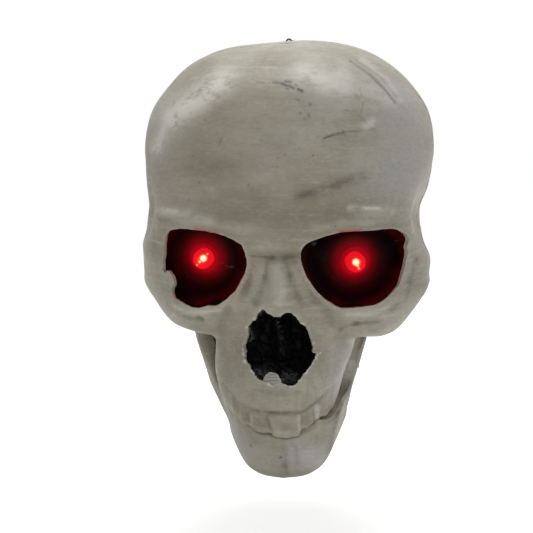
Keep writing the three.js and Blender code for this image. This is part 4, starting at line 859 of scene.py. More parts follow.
# Hand-cut openings as points across and up
openings = {
    "leftEye": [
        (-55.2, 121), (-50.6, 123), (-43.6, 123.2), (-36, 122.8), (-28.5, 121.4), (-22.5, 119.1),
        (-18.4, 116.2), (-16.4, 111), (-16.4, 105.4), (-19, 98.2), (-22.7, 92.9), (-26.5, 89.3),
        (-30.8, 86.2), (-35, 86.3), (-37.6, 85.4), (-42, 85), (-45.8, 86.1), (-51.2, 88.2), (-53.4, 90.6),
        (-53.8, 92.8), (-52.7, 96.5), (-54.8, 100.5), (-56.3, 101.4), (-58.2, 100.2), (-59.4, 103),
        (-58.6, 109), (-57.6, 116)],
    "rightEye": [
        (9.8, 111.6), (11.4, 116.4), (14.1, 118.2), (20, 120.6), (25.9, 122.6), (31.8, 123.3), (44.7, 123.6),
        (50.4, 123.8), (54.6, 123.2), (58.8, 121.2), (61.5, 118), (60.6, 113.8), (61, 111.3), (60.2, 106.5),
        (57.3, 96.8), (54.8, 93.5), (47.7, 88.2), (39.9, 86.4), (30.9, 85.8), (26.8, 86.6), (19.6, 91.8),
        (14.2, 98.5), (10.8, 106)],
    "nose": [
        (-8.7, 85.2), (-5.9, 83.8), (-3.5, 82.6), (-0.3, 82), (1.7, 83.9), (4, 84.7), (7, 83), (9.4, 79.2),
        (12, 77.2), (14.2, 72.3), (15.6, 67), (16.1, 64.4), (18.2, 63.9), (16.5, 61.4), (12.9, 56.1),
        (9.3, 51.1), (7, 49.3), (4.5, 48.8), (0.5, 50.4), (-3.5, 49.7), (-7.5, 50.5), (-11.5, 52.4),
        (-13.9, 56.1), (-17.1, 60.9), (-17.3, 64.6), (-17.9, 67), (-15.5, 71.9), (-15.6, 76.6), (-12, 80),
        (-11.2, 83)],
}
cut = {"steps": 10, "grain": 0.4, "tear": 1.7, "back": -40, "margin": 2.6, "lipWide": 2.2, "evenRounds": 4,
       "leftEye": {"cuts": 2, "ragged": 0.35, "tearBy": 0.12, "lip": 0.6},
       "rightEye": {"cuts": 2, "ragged": 0.25, "tearBy": 0.08, "lip": 0.6},
       "nose": {"cuts": 1, "ragged": 0.6, "tearBy": 0.55, "lip": -0.4}}


def outlineOf(name):
    points = loopCurve([Vector((x, 0, z)) for x, z in openings[name]], cut["steps"])
    ragged = []
    for p in points:
        wobble = noise.noise_vector(p * cut["grain"]) * cut[name]["ragged"]
        wobble += noise.noise_vector(p * cut["tear"]) * cut[name]["tearBy"]
        ragged.append(Vector((p.x + wobble.x, 0, p.z + wobble.z)))
    return ragged


# Which places lie inside an outline, seen from the front
def insideOf(outline, places):
    ax, az = np.array([(p.x, p.z) for p in outline]).T
    bx, bz = np.roll(ax, -1), np.roll(az, -1)
    x, z = places[:, :1], places[:, 2:]
    spans = (az > z) != (bz > z)
    rise = np.where(bz == az, 1, bz - az)
    return (spans & (x < ax + (z - az) / rise * (bx - ax))).sum(1) % 2 == 1


# Takes single faces out of or into the cut, so that its edge has no spurs
def evenEdge(gone, faces):
    for _ in range(cut["evenRounds"]):
        for face in faces:
            beside = [other for edge in face.edges for other in edge.link_faces if other is not face]
            cutAway = sum(other in gone for other in beside)
            if face in gone and cutAway <= len(beside) / 2 - 1:
                gone.discard(face)
            elif face not in gone and cutAway >= len(beside) / 2 + 1:
                gone.add(face)
        for vert in dict.fromkeys(v for face in faces for v in face.verts):
            cornered = [face for face in vert.link_faces if face in gone]
            if len(cornered) == 2 and len(vert.link_faces) == 4:
                if not set(cornered[0].edges) & set(cornered[1].edges):
                    gone.difference_update(cornered)


def nearestOn(outline, x, z):
    best = None
    for p, q in zip(outline, outline[1:] + outline[:1]):
        line = q - p
        t = min(1, max(0, ((x - p.x) * line.x + (z - p.z) * line.z) / max(1e-9, line.length_squared)))
        spot = p + line * t
        gap = (spot.x - x) ** 2 + (spot.z - z) ** 2
        if best is None or gap < best[0]:
            best = (gap, spot)
    return best[1]


# Distance of each place from an outline, seen from the front
def gapTo(outline, places):
    starts = np.array([(p.x, p.z) for p in outline])
    lines = np.roll(starts, -1, axis=0) - starts
    offset = places[:, None, [0, 2]] - starts[None]
    t = np.clip((offset * lines).sum(2) / np.maximum(1e-9, (lines ** 2).sum(1)), 0, 1)
    return np.sqrt(((offset - t[..., None] * lines) ** 2).sum(2).min(1))


def cutOpening(shape, name):
    outline = outlineOf(name)
    xs, zs = [p.x for p in outline], [p.z for p in outline]
    spare = 2 * cut["margin"]

    def around(p):
        return (min(xs) - spare < p.x < max(xs) + spare and min(zs) - spare < p.z < max(zs) + spare
                and p.y < cut["back"])

    close = [v for v in shape.verts if around(v.co)]
    gaps = gapTo(outline, np.array([v.co for v in close]))
    beside = {v for v, gap in zip(close, gaps) if gap < cut["margin"]}
    edges = [e for e in shape.edges if e.verts[0] in beside and e.verts[1] in beside]
    bmesh.ops.subdivide_edges(shape, edges=edges, cuts=cut[name]["cuts"], use_grid_fill=True)
    faces = [f for f in shape.faces if around(f.calc_center_median())]
    inside = insideOf(outline, np.array([f.calc_center_median() for f in faces]))
    gone = {face for face, within in zip(faces, inside) if within}
    evenEdge(gone, faces)
    bmesh.ops.delete(shape, geom=[face for face in faces if face in gone], context="FACES")
    close = [v for v in shape.verts if around(v.co)]
    rim = []
    for v, gap in zip(close, gapTo(outline, np.array([v.co for v in close]))):
        v.co.y -= cut[name]["lip"] * bell(gap, cut["lipWide"])
        if v.is_boundary and gap < cut["margin"]:
            rim.append(v)
    for v in rim:
        spot = nearestOn(outline, v.co.x, v.co.z)
        v.co = (spot.x, skinDepth(spot.x, spot.z) - cut[name]["lip"], spot.z)
    onRim = set(rim)
    beside = dict.fromkeys(e.other_vert(v) for v in rim for e in v.link_edges)
    relax(shape, [v for v in beside if v not in onRim])


for name in openings:
    cutOpening(head, name)
print("openings cut:", len(head.faces), "faces left")

# Slots in the floor for the upright sides of the jaw
slots = {"inside": 38.6, "outside": 51, "front": -40, "back": 9, "high": 92, "facing": -0.4, "spare": 15}


def cutSlot(shape, x0, x1, y0, y1):
    spare = slots["spare"]

    def floorFaces():
        for face in shape.faces:
            p = face.calc_center_median()
            if p.z < slots["high"] and face.normal.z < slots["facing"]:
                yield face, p

    across, ahead = (1, 0, 0), (0, 1, 0)
    planes = [((x0, 0, 0), across), ((x1, 0, 0), across), ((0, y0, 0), ahead), ((0, y1, 0), ahead)]
    for point, normal in planes:
        faces = [face for face, p in floorFaces() if y0 - spare < p.y < y1 + spare]
        geom = list(dict.fromkeys(part for f in faces for part in (f, *f.edges, *f.verts)))
        bmesh.ops.bisect_plane(shape, geom=geom, plane_co=point, plane_no=normal, dist=cutGap)
    gone = [face for face, p in floorFaces() if x0 < p.x < x1 and y0 < p.y < y1]
    bmesh.ops.delete(shape, geom=gone, context="FACES")


for side in (-1, 1):
    x0, x1 = sorted((side * slots["inside"], side * slots["outside"]))
    cutSlot(head, x0, x1, slots["front"], slots["back"])

# The two halves, parted at the seam with a small groove
parting = {"half": 0.15, "groove": 0.7, "lip": 1.2, "wall": 1.9, "near": 0.01}


def halfHead(front):
    half = head.copy()
    sign = -1 if front else 1
    everything = half.verts[:] + half.edges[:] + half.faces[:]
    lip = (0, seam["y"] + sign * (parting["half"] + parting["lip"]), 0)
    bmesh.ops.bisect_plane(half, geom=everything, plane_co=lip, plane_no=(0, 1, 0), dist=cutGap)
    everything = half.verts[:] + half.edges[:] + half.faces[:]
    edge = seam["y"] + sign * parting["half"]
    bmesh.ops.bisect_plane(half, geom=everything, plane_co=(0, edge, 0), plane_no=(0, 1, 0), dist=cutGap,
                           clear_outer=front, clear_inner=not front)
    half.normal_update()
    for v in half.verts:
        if abs(v.co.y - edge) < parting["near"]:
            v.co -= Vector((v.normal.x, 0, v.normal.z)) * parting["groove"]
    return half


frontShell = makePiece("painted_face", halfHead(True), "head", ["front_shell"], "bone", parting["wall"])
rearShell = makePiece("painted_back", halfHead(False), "head", ["rear_shell"], "bone", parting["wall"])
head.free()
paintPiece(frontShell)
paintPiece(rearShell)

# Pale frayed edge where the nose was cut out, put on the highlight attribute: partly torn pale paint, partly
# a painted highlight on the cut edge
fray = {"by": 0.9, "wide": 0.9, "grain": 0.5, "contrast": 2, "up": 67, "reach": 26}


def frayEdge(piece, name):
    places = drawnPlaces(piece)
    outline = outlineOf(name)
    near = (np.abs(places[:, 0]) < fray["reach"]) & (np.abs(places[:, 2] - fray["up"]) < fray["reach"])
    close = np.nonzero((places[:, 1] < cut["back"]) & near)[0]
    torn = ease(np.array([noise.noise(Vector(p) * fray["grain"]) for p in places[close]]) * fray["contrast"])
    amounts = np.zeros(len(places))
    amounts[close] = fray["by"] * torn * np.exp(-(gapTo(outline, places[close]) / fray["wide"]) ** 2)
    liftAttribute(piece, "highlight_and_gloss", amounts)


frayEdge(frontShell, "nose")

# Lower jaw: a strip bent round the chin and up to the hinges, its edges turned in
jaw = {"steps": 176, "up": 30, "wall": 3.2, "biteGap": 0.5, "chin": 0.25, "lipOver": 0.8, "lipLow": 1.2,
       "lipTop": 0.4, "fillet": 1, "front": -88.4, "back": -1, "liftFrom": 0.2, "liftTo": 0.3,
       "relief": 0.9}
flare = {"from": 31, "top": 62, "ease": 0.35}
jawAskew = [{"share": 0, "by": 2}, {"share": 0.15, "by": 1.5}, {"share": 0.293, "by": 0.9},
            {"share": 0.437, "by": 0.8}, {"share": 0.557, "by": -1.1}, {"share": 0.653, "by": -2.7}]
askewFade = {"low": 64, "high": 84}
# From the chin to the hinge: share of the depth, half width, lower edge, upper edge above the bite, how far
# the side leans out, and the width of the edge that is turned in
jawStations = [
    {"share": 0, "x": 0, "low": 2.7, "top": 0, "lean": 0, "flange": 9},
    {"share": 0.006, "x": 9.5, "low": 3.9, "top": 0.2, "lean": 0, "flange": 9},
    {"share": 0.048, "x": 18.4, "low": 6.1, "top": 1.2, "lean": 0.05, "flange": 8.5},
    {"share": 0.13, "x": 24.9, "low": 9.2, "top": 1.6, "lean": 0.14, "flange": 8},
    {"share": 0.248, "x": 28.5, "low": 13, "top": 1.2, "lean": 0.2, "flange": 7},
    {"share": 0.383, "x": 30.4, "low": 16.8, "top": 1.2, "lean": 0.2, "flange": 6.2},
    {"share": 0.497, "x": 32.6, "low": 22.5, "top": 3, "lean": 0.22, "flange": 5.6},
    {"share": 0.569, "x": 34, "low": 26.5, "top": 17, "lean": 0.28, "flange": 6.8},
    {"share": 0.641, "x": 34.8, "low": 29, "top": 38, "lean": 0.31, "flange": 8.4},
    {"share": 0.772, "x": 35, "low": 31.5, "top": 46, "lean": 0.31, "flange": 7},
    {"share": 0.892, "x": 35, "low": 36, "top": 59, "lean": 0.31, "flange": 5.4},
    {"share": 0.964, "x": 35, "low": 46, "top": 57, "lean": 0.31, "flange": 5.4},
    {"share": 1, "x": 35, "low": 58, "top": 50, "lean": 0.31, "flange": 5.4},
]
for index, station in enumerate(jawStations):
    station["index"] = index
# Across the face of the jaw from its lower to its upper edge
jawFace = [
    {"up": 0, "deep": 2.2, "chin": 0}, {"up": 0.03, "deep": 1.1, "chin": 0},
    {"up": 0.09, "deep": 0.5, "chin": 0}, {"up": 0.22, "deep": 0, "chin": -0.8},
    {"up": 0.4, "deep": 0.2, "chin": -0.4}, {"up": 0.68, "deep": 0, "chin": -0.2},
    {"up": 0.9, "deep": 0.2, "chin": -0.9}, {"up": 1, "deep": 1.6, "chin": -0.6},
]
jawStrokes = [
    ((4.2, 22), (5.2, 8), 1.3, 0.7), ((2.4, 20), (3.2, 10), 1.4, -0.4), ((8, 20), (9, 10), 2, -0.4),
    ((14, 17), (15, 10), 5, 0.6), ((22.6, 9.6), (25.4, 22.7), 1.4, -0.5),
    ((25.4, 22.7), (27.8, 32), 1.4, -0.6), ((-12, 18), (-10, 8), 5, 0.4), ((2, 9.5), (3.4, 6.5), 1.6, -0.6),
]
hinge = {"y": -8, "z": 90, "radius": 7, "inside": 43.2, "outside": 51, "bevel": 0.6}


def jawPlace(share):
    place = abs(share) * (len(jawStations) - 1)
    row = {field: along(jawStations, "index", field, place) for field in jawStations[0] if field != "index"}
    row["side"] = math.copysign(1, share)
    row["base"] = Vector((row["side"] * row["x"], mix(jaw["front"], jaw["back"], row["share"]), 0))
    row["top"] += level["bite"] + biteLift(row["base"].y) - jaw["biteGap"]
    lift = lineAt(teeth["lift"], row["base"].x + askewBy(row["base"].y, level["bite"]))
    row["top"] += lift * smooth(jaw["liftTo"], jaw["liftFrom"], row["share"])
    return row


def askewBy(y, z):
    share = (y - jaw["front"]) / (jaw["back"] - jaw["front"])
    return along(jawAskew, "share", "by", share) * smooth(askewFade["high"], askewFade["low"], z)


def jawRing(share):
    place = jawPlace(share)
    step = 0.5 / jaw["steps"]
    run = (jawPlace(min(1, share + step))["base"] - jawPlace(max(-1, share - step))["base"]).normalized()
    inward = Vector((-run.y, run.x, 0))
    low, top, wall = place["low"], place["top"], jaw["wall"]
    chin = bell(share, jaw["chin"])
    inner = max(wall + jaw["lipOver"], place["flange"])
    profile = []
    for i in range(jaw["up"] + 1):
        up = 0.5 - 0.5 * math.cos(math.pi * i / jaw["up"])
        deep = along(jawFace, "up", "deep", up) + chin * along(jawFace, "up", "chin", up)
        profile.append((deep, mix(low, top, up)))
    lipLow, lipTop = low + wall, top - wall
    profile += [(inner, top - jaw["lipTop"]), (inner, lipTop), (wall, lipTop - jaw["fillet"]),
                (wall, lipLow + jaw["fillet"]), (inner, lipLow), (inner, low + jaw["lipLow"])]
    ring = []
    for deep, z in profile:
        slant = z - flare["from"] - flare["ease"] * max(0, z - flare["top"])
        p = place["base"] + inward * deep + Vector((place["side"] * place["lean"] * slant, 0, z))
        p.x += askewBy(p.y, z)
        ring.append(p)
    return ring


# A closed strip of rings, made from a grid whose first and last columns are the same line
def ringStrip(rings):
    shape = bmesh.new()
    columns, rows = len(rings[0]), len(rings)
    bmesh.ops.create_grid(shape, x_segments=columns, y_segments=rows - 1, size=1)
    for vert in shape.verts:
        column = round((vert.co.x + 1) / 2 * columns) % columns
        vert.co = rings[round((vert.co.y + 1) / 2 * (rows - 1))][column]
    bmesh.ops.remove_doubles(shape, verts=shape.verts, dist=weldGap)
    return shape


def addBoss(shape, side):
    middle, radius = (hinge["inside"] + hinge["outside"]) / 2, hinge["radius"]
    turn = Matrix.Translation((side * middle, hinge["y"], hinge["z"])) @ Matrix.Rotation(math.pi / 2, 4, "Y")
    made = bmesh.ops.create_cone(shape, cap_ends=True, segments=48, radius1=radius, radius2=radius,
                                 depth=hinge["outside"] - hinge["inside"], matrix=turn)
    edges = list(dict.fromkeys(e for v in made["verts"] for e in v.link_edges if e.calc_face_angle(0) > 1))
    bmesh.ops.bevel(shape, geom=edges, offset=hinge["bevel"], segments=3, profile=0.5, affect="EDGES",
                    material=-1)


def buildJaw():
    rings = [jawRing(mix(-1, 1, i / jaw["steps"])) for i in range(jaw["steps"] + 1)]
    shape = ringStrip(rings)
    bmesh.ops.holes_fill(shape, edges=[e for e in shape.edges if e.is_boundary], sides=0)
    bmesh.ops.recalc_face_normals(shape, faces=shape.faces)
    modelFront(shape, jawStrokes)
    for side in (-1, 1):
        addBoss(shape, side)
    return shape


lowerJaw = makePiece("painted_jaw", buildJaw(), "jaw", ["lower_jaw"], "bone")
paintPiece(lowerJaw, jaw["relief"])

# Inner side of the jaw's uprights: painted brown shade on the left one, a painted highlight on the right one
jawInsideShading = {"left": {"rim": 3.2, "stain_and_shade": 0.95, "highlight_and_gloss": 0},
           "right": {"rim": 4.5, "stain_and_shade": 0.05, "highlight_and_gloss": 0.7}, "rimFade": 1.2, "low": 36, "lowFade": 8}


def shadeJawInside(piece):
    places = drawnPlaces(piece)
    outside = jawStations[-1]["x"] + jawStations[-1]["lean"] * (places[:, 2] - flare["from"])
    across = places[:, 0] - [askewBy(y, z) for x, y, z in places]

    def bySide(field):
        return np.where(across < 0, jawInsideShading["left"][field], jawInsideShading["right"][field])

    inner = ease((outside - np.abs(across) - bySide("rim")) / jawInsideShading["rimFade"])
    inner *= ease((places[:, 2] - jawInsideShading["low"]) / jawInsideShading["lowFade"])
    for name in ("stain_and_shade", "highlight_and_gloss"):
        liftAttribute(piece, name, bySide(name) * inner)


shadeJawInside(lowerJaw)

# Lamps: sizes, how far they look out and down, and where they sit
lamp = {"radius": 5, "ahead": 3.4, "back": 5.3, "out": 14, "down": 9, "flange": 6, "flangeThick": 1.2,
        "flangeGap": 0.3, "flangeEdge": 0.2, "round": 24,
        "places": {"left": (-40, -49, 105.6), "right": (35, -49, 104.6)}}
# Black cups behind the eyes, each with a floor square to its lamp
cup = {"lap": 1.05, "floor": 12.5, "rows": 34, "wrinkle": 0.7, "wall": 1.3, "bore": 6.8,
       "sink": {"inner": 1.5, "outer": 3.9}, "innerEnd": 22, "outerStart": 44}
crumple = {"grain": 0.13, "finer": 3, "fineShare": 0.3}  # of all the black sheet


# A lamp's place and the way that it looks
def lampAim(name):
    side = -1 if name == "left" else 1
    out, down = math.radians(lamp["out"]), math.radians(lamp["down"])
    axis = Vector((side * math.sin(out) * math.cos(down), -math.cos(out) * math.cos(down), -math.sin(down)))
    return Vector(lamp["places"][name]), axis


# Directions square to an axis, one across and one upwards
def squareTo(axis):
    right = (Vector((1, 0, 0)) - axis * axis.x).normalized()
    up = axis.cross(right).normalized()
    if up.z < 0:
        up.negate()
    return right, up


def wrinkled(p, amount):
    broad = noise.noise_vector(p * crumple["grain"])
    fine = noise.noise_vector(p * crumple["grain"] * crumple["finer"])
    return p + broad * amount + fine * amount * crumple["fineShare"]


# Middle of an outline, seen from the front
def middleOf(outline):
    return sum(outline, Vector()) / len(outline)


# Turns the faces of an open sheet towards the front
def faceForwards(shape):
    bmesh.ops.recalc_face_normals(shape, faces=shape.faces)
    if sum(f.normal.y * f.calc_area() for f in shape.faces) > 0:
        bmesh.ops.reverse_faces(shape, faces=shape.faces)


def eyeCup(name):
    outline = outlineOf(name + "Eye")
    middle = middleOf(outline)
    place, axis = lampAim(name)
    right, up = squareTo(axis)

    def roundLamp(p, radius):
        angle = math.atan2(p.z - middle.z, p.x - middle.x)
        return place + (right * math.cos(angle) + up * math.sin(angle)) * radius

    rings = []
    for row in range(cup["rows"] + 1):
        share = row / cup["rows"]
        bulge, narrow = math.sin(share * math.pi / 2), 1 - math.cos(share * math.pi / 2)
        ring = []
        for p in outline:
            edge = middle + (p - middle) * cup["lap"]
            outward = smooth(cup["innerEnd"], cup["outerStart"], abs(edge.x))
            edge.y = skinDepth(edge.x, edge.z) + mix(cup["sink"]["inner"], cup["sink"]["outer"], outward)
            floor = roundLamp(p, cup["floor"])
            spot = Vector((mix(edge.x, floor.x, narrow), mix(edge.y, floor.y, bulge),
                           mix(edge.z, floor.z, narrow)))
            ring.append(wrinkled(spot, cup["wrinkle"] * math.sin(math.pi * share)))
        rings.append(ring)
    bore = [roundLamp(p, cup["bore"]) for p in outline]
    rings.append([a.lerp(b, 0.5) for a, b in zip(rings[-1], bore)])
    rings.append(bore)
    shape = ringStrip(rings)
    faceForwards(shape)
    return shape


# Light from the lamp on the pieces round it, strongest close to it
redLight = {"ahead": 2, "wide": 7.2, "spill": 0.045, "spillFrom": 16, "dark": 15, "fade": 12,
            "patch": 0.07, "contrast": 1.6, "even": 0.4}


def lightUp(piece, name):
    place, axis = lampAim(name)
    light = redLight
    spread = np.linalg.norm(drawnPlaces(piece) - np.array(place + axis * light["ahead"]), axis=1)
    ray = np.array(place + axis * light["spillFrom"]) - drawnPlaces(piece)
    facing = np.clip((ray * normalsOf(piece)).sum(1) / np.linalg.norm(ray, axis=1), 0, 1)
    cloud = np.array([noise.noise(Vector(p) * light["patch"]) for p in ray])
    patchy = ease(cloud * light["contrast"] + light["even"])
    spill = light["spill"] * facing ** 2 * ease((spread - light["dark"]) / light["fade"]) * patchy
    setAttribute(piece, "glow", np.exp(-((spread / light["wide"]) ** 2)) + spill)


for name in ("left", "right"):
    socket = makePiece(name + "_socket", eyeCup(name), "head", [name + "_eye_cup"], "black_liner",
                       cup["wall"])
    lightUp(socket, name)

# Liner behind the nose, with the bone between the nostrils
nose = {"lap": 1.07, "deep": 24, "deepBeside": 8, "waist": 0.95, "back": 0.62, "rows": 26, "wrinkle": 0.9,
        "wall": 1.3, "sink": 4.1, "bone": 3.4, "ahead": 13, "low": 52, "high": 80, "boneFade": 8,
        "backRows": 13, "backWrinkle": 0.6, "plug": 4}


def noseLiner():
    outline = outlineOf("nose")
    middle = middleOf(outline)
    back = skinDepth(middle.x - nose["deepBeside"], middle.z) + nose["deep"]
    rings = []
    for row in range(nose["rows"] + 1):
        share = row / nose["rows"]
        narrow = math.sin(max(0, share - 0.5) * math.pi) ** 2
        scale = mix(mix(nose["lap"], nose["waist"], min(1, share * 2)), nose["back"], narrow)
        ring = []
        for p in outline:
            rim = middle + (p - middle) * nose["lap"]
            spot = middle + (p - middle) * scale
            spot.y = mix(skinDepth(rim.x, rim.z) + nose["sink"], back, share)
            ring.append(wrinkled(spot, nose["wrinkle"] * math.sin(math.pi * share)))
        rings.append(ring)
    low, high, fade = nose["low"], nose["high"], nose["boneFade"]
    for step in range(1, nose["backRows"]):
        scale = nose["back"] * (1 - step / nose["backRows"])
        ring = []
        for p in outline:
            spot = middle + (p - middle) * scale
            tall = smooth(low, low + fade, spot.z) * smooth(high, high - fade, spot.z)
            spot.y = back - nose["ahead"] * tall * bell(spot.x - middle.x, nose["bone"])
            ring.append(wrinkled(spot, nose["backWrinkle"]))
        rings.append(ring)
    shape = ringStrip(rings)
    hole = [e for e in shape.edges if e.is_boundary and (e.verts[0].co - middle).xz.length < nose["plug"]]
    bmesh.ops.holes_fill(shape, edges=hole, sides=0)
    faceForwards(shape)
    return shape


# Pale marks on the nose liner: torn pale fringes near the cut, and a painted highlight on the bone between
# the nostrils
noseDustAndGlint = [
    ((-1, 58), (-1, 74), 14, 0.07), ((-3.4, 80), (-1.8, 75.5), 1.1, 0.9), ((-8, 84), (-11.4, 81), 1.2, 0.7),
    ((-16, 74), (-15.4, 67), 1.1, 0.6), ((-12, 53), (-6, 50.6), 1.3, 0.5), ((0, 50.6), (8, 50), 1.2, 0.6),
    ((3, 84), (9, 80), 1, 0.5), ((16, 64), (17, 65), 1, 0.8),
]
lining = makePiece("nose_lining", noseLiner(), "head", ["nose_liner"], "black_liner", nose["wall"])
linerPlaces = drawnPlaces(lining)
setAttribute(lining, "dust_and_glint", sum(strength * strokeWeight(linerPlaces, start, end, width)
                                 for start, end, width, strength in noseDustAndGlint))

# Thin flap of skin that the knife left at the lower edge of the nose
flap = {"left": -8.4, "right": 0.8, "low": 48.6, "rise": 6.4, "lean": 0.22, "sink": 1.6, "wall": 0.5,
        "ragged": 0.35, "grain": 1.5, "crumple": 0.3, "corner": 0.75, "cornerPower": 2.6,
        "across": 36, "up": 20}


def noseFlap():
    shape = bmesh.new()
    bmesh.ops.create_grid(shape, x_segments=flap["across"], y_segments=flap["up"], size=1)
    for v in shape.verts:
        across, up = v.co.x, (v.co.y + 1) / 2
        x = mix(flap["left"], flap["right"], (across + 1) / 2)
        rise = up * flap["rise"] * (1 - abs(across) ** flap["cornerPower"] * flap["corner"])
        torn = noise.noise_vector(Vector((x, 0, rise)) * flap["grain"]) * flap["ragged"] * up
        depth = skinDepth(x, flap["low"]) + flap["sink"] + rise * flap["lean"]
        depth += flap["crumple"] * noise.noise(Vector((x, rise, 5)))
        v.co = (x + torn.x, depth, flap["low"] + rise + torn.z)
    bmesh.ops.recalc_face_normals(shape, faces=shape.faces)
    return shape


paintPiece(makePiece("nose_flap", noseFlap(), "head", [], "bone", flap["wall"]))

spinSteps = 64


# A profile of radius and height, spun round a lamp's axis
def spun(profile, name):
    shape = bmesh.new()
    place, axis = lampAim(name)
    verts = [shape.verts.new((radius, 0, height)) for radius, height in profile]
    edges = [shape.edges.new(pair) for pair in zip(verts, verts[1:])]
    bmesh.ops.spin(shape, geom=verts + edges, cent=(0, 0, 0), axis=(0, 0, 1), angle=2 * math.pi,
                   steps=spinSteps, use_merge=True)
    bmesh.ops.remove_doubles(shape, verts=shape.verts, dist=weldGap)
    bmesh.ops.recalc_face_normals(shape, faces=shape.faces)
    turn = axis.to_track_quat("Z", "Y").to_matrix().to_4x4()
    bmesh.ops.transform(shape, matrix=Matrix.Translation(place) @ turn, verts=shape.verts)
    return shape


def lampProfile():
    radius, ahead, back = lamp["radius"], lamp["ahead"], -lamp["back"] - lamp["flangeGap"]
    low, flange, edge = back - lamp["flangeThick"], lamp["flange"], lamp["flangeEdge"]
    profile = [(0, low), (flange - edge, low), (flange, low + edge), (flange, back - edge),
               (flange - edge, back), (radius, back)]
    for i in range(lamp["round"] + 1):
        turn = math.pi / 2 * i / lamp["round"]
        profile.append((max(0, radius * math.cos(turn)), ahead + radius * math.sin(turn)))
    return profile


# Bright wires seen in the lens: across, up, size and strength; "toward" is the side that they show on
sparks = {"toward": {"left": (0.115, -0.984, 0.132), "right": (0.003, -0.991, 0.135)},
          "left": [(0.3, 0.4, 1.9, 1.5), (2.3, 2.5, 0.8, 0.85), (-2.9, -2.9, 0.8, 0.8),
                   (-1.6, -1.4, 1.1, 0.9)],
          "right": [(0, 0.2, 1.9, 1.5), (1.5, -2.9, 0.9, 0.85), (0.9, -1.6, 1.2, 0.9)],
          "body": 0.22, "sideFade": 2}


def sparkle(lens, name):
    place, axis = lampAim(name)
    toward = Vector(sparks["toward"][name]).normalized()
    across = toward.cross(Vector((0, 0, -1))).normalized()
    above = across.cross(toward).normalized() * -1
    offset = drawnPlaces(lens) - np.array(place + axis * lamp["ahead"])
    x, z = offset @ np.array(across), offset @ np.array(above)
    facing = ease(offset @ np.array(toward) / sparks["sideFade"])
    bright = np.zeros(len(offset))
    for left, high, size, strength in sparks[name]:
        bright = np.maximum(bright, strength * np.exp(-((x - left) ** 2 + (z - high) ** 2) / size ** 2))
    return np.maximum(bright, sparks["body"]) * facing


# Wire eye at the crown: a loop on a stem that goes through the skin
hook = {"radius": 1.35, "wire": 0.36, "up": -0.3, "round": 16, "turns": 48}


def hangingEye():
    low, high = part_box("hanging_eye")
    foot, middle = low / mm - shift, (low + high) / (2 * mm) - shift
    top = skinTree.ray_cast(Vector((middle.x, middle.y, 2 * level["crown"])), Vector((0, 0, -1)))[0].z
    centre = Vector((middle.x, middle.y, top + hook["up"]))
    shape = bmesh.new()
    turn = Matrix.Translation((hook["radius"], 0, 0)) @ Matrix.Rotation(math.pi / 2, 4, "X")
    bmesh.ops.create_circle(shape, segments=hook["round"], radius=hook["wire"], matrix=turn)
    bmesh.ops.spin(shape, geom=shape.verts[:] + shape.edges[:], cent=(0, 0, 0), axis=(0, 1, 0),
                   angle=2 * math.pi, steps=hook["turns"], use_merge=True)
    bmesh.ops.remove_doubles(shape, verts=shape.verts, dist=weldGap)
    tall = centre.z - hook["radius"] - foot.z
    place = Matrix.Translation((0, 0, -hook["radius"] - tall / 2))
    bmesh.ops.create_cone(shape, cap_ends=True, segments=hook["round"], radius1=hook["wire"],
                          radius2=hook["wire"], depth=tall, matrix=place)
    bmesh.ops.recalc_face_normals(shape, faces=shape.faces)
    bmesh.ops.translate(shape, verts=shape.verts, vec=centre)
    return shape


makePiece("wire_eye", hangingEye(), "head", ["hanging_eye"], "steel")

# Rings that hold the lamps, and the light that each lamp throws
holder = {"inside": 5.3, "outside": 6.5, "lip": 8.2, "low": 0.3, "high": 1.5, "round": 0.3}
lampGlow = {"colour": (1, 0.01, 0.01), "power": 0.002, "size": 4, "ahead": 1}


def holderProfile():
    inside, outside, lip, edge = holder["inside"], holder["outside"], holder["lip"], holder["round"]
    back, low, high = -lamp["back"], holder["low"], holder["high"]
    return [(inside, back), (outside, back), (outside, low), (lip - edge, low), (lip, low + edge),
            (lip, high - edge), (lip - edge, high), (inside + edge, high), (inside, high - edge),
            (inside, back)]


for name in ("left", "right"):
    collar = makePiece(name + "_collar", spun(holderProfile(), name), "head", [name + "_lamp_holder"],
                       "dark_plastic")
    collar.data.materials[0] = finishes["black_liner"]
    lightUp(collar, name)
    lens = makePiece(name + "_light", spun(lampProfile(), name), "head", [name + "_lamp"], "red_lens")
    lens.visible_shadow = False
    place, axis = lampAim(name)
    setAttribute(lens, "core", sparkle(lens, name))
    glow = bpy.data.lights.new(name + "_glow", "POINT")
    glow.color = lampGlow["colour"]
    glow.energy = lampGlow["power"]
    glow.shadow_soft_size = lampGlow["size"] * mm
    source = bpy.data.objects.new(name + "_glow", glow)
    scene.collection.objects.link(source)
    source.location = toPart @ (place + axis * (lamp["ahead"] + lamp["radius"] + lampGlow["ahead"]))

# Neck: a copy of the moulding whose front leans a little to the left, as the head isn't even
slim = {"by": 2.2, "from": -8, "to": -30, "wide": 30}


def slimNeck():
    shape = bmesh.new()
    shape.from_mesh(frame["nodes"]["neck_housing"].data)
    bmesh.ops.remove_doubles(shape, verts=shape.verts, dist=weldGap * mm)
    bmesh.ops.transform(shape, matrix=toPart.inverted(), verts=shape.verts)
    for v in shape.verts:
        ahead, aside = smooth(slim["from"], slim["to"], v.co.y), smooth(0, slim["wide"], abs(v.co.x))
        v.co.x -= slim["by"] * ahead * aside
    return shape


slimmed = makePiece("neck_shell", slimNeck(), "head", ["neck_housing"], "bone")
slimmed.data.polygons.foreach_set("use_smooth", [False] * len(slimmed.data.polygons))

# Camera
view = {"from": (37.291, -711.256, 194.464), "at": (-12.445, 0, 94.259), "lens": 90.04}


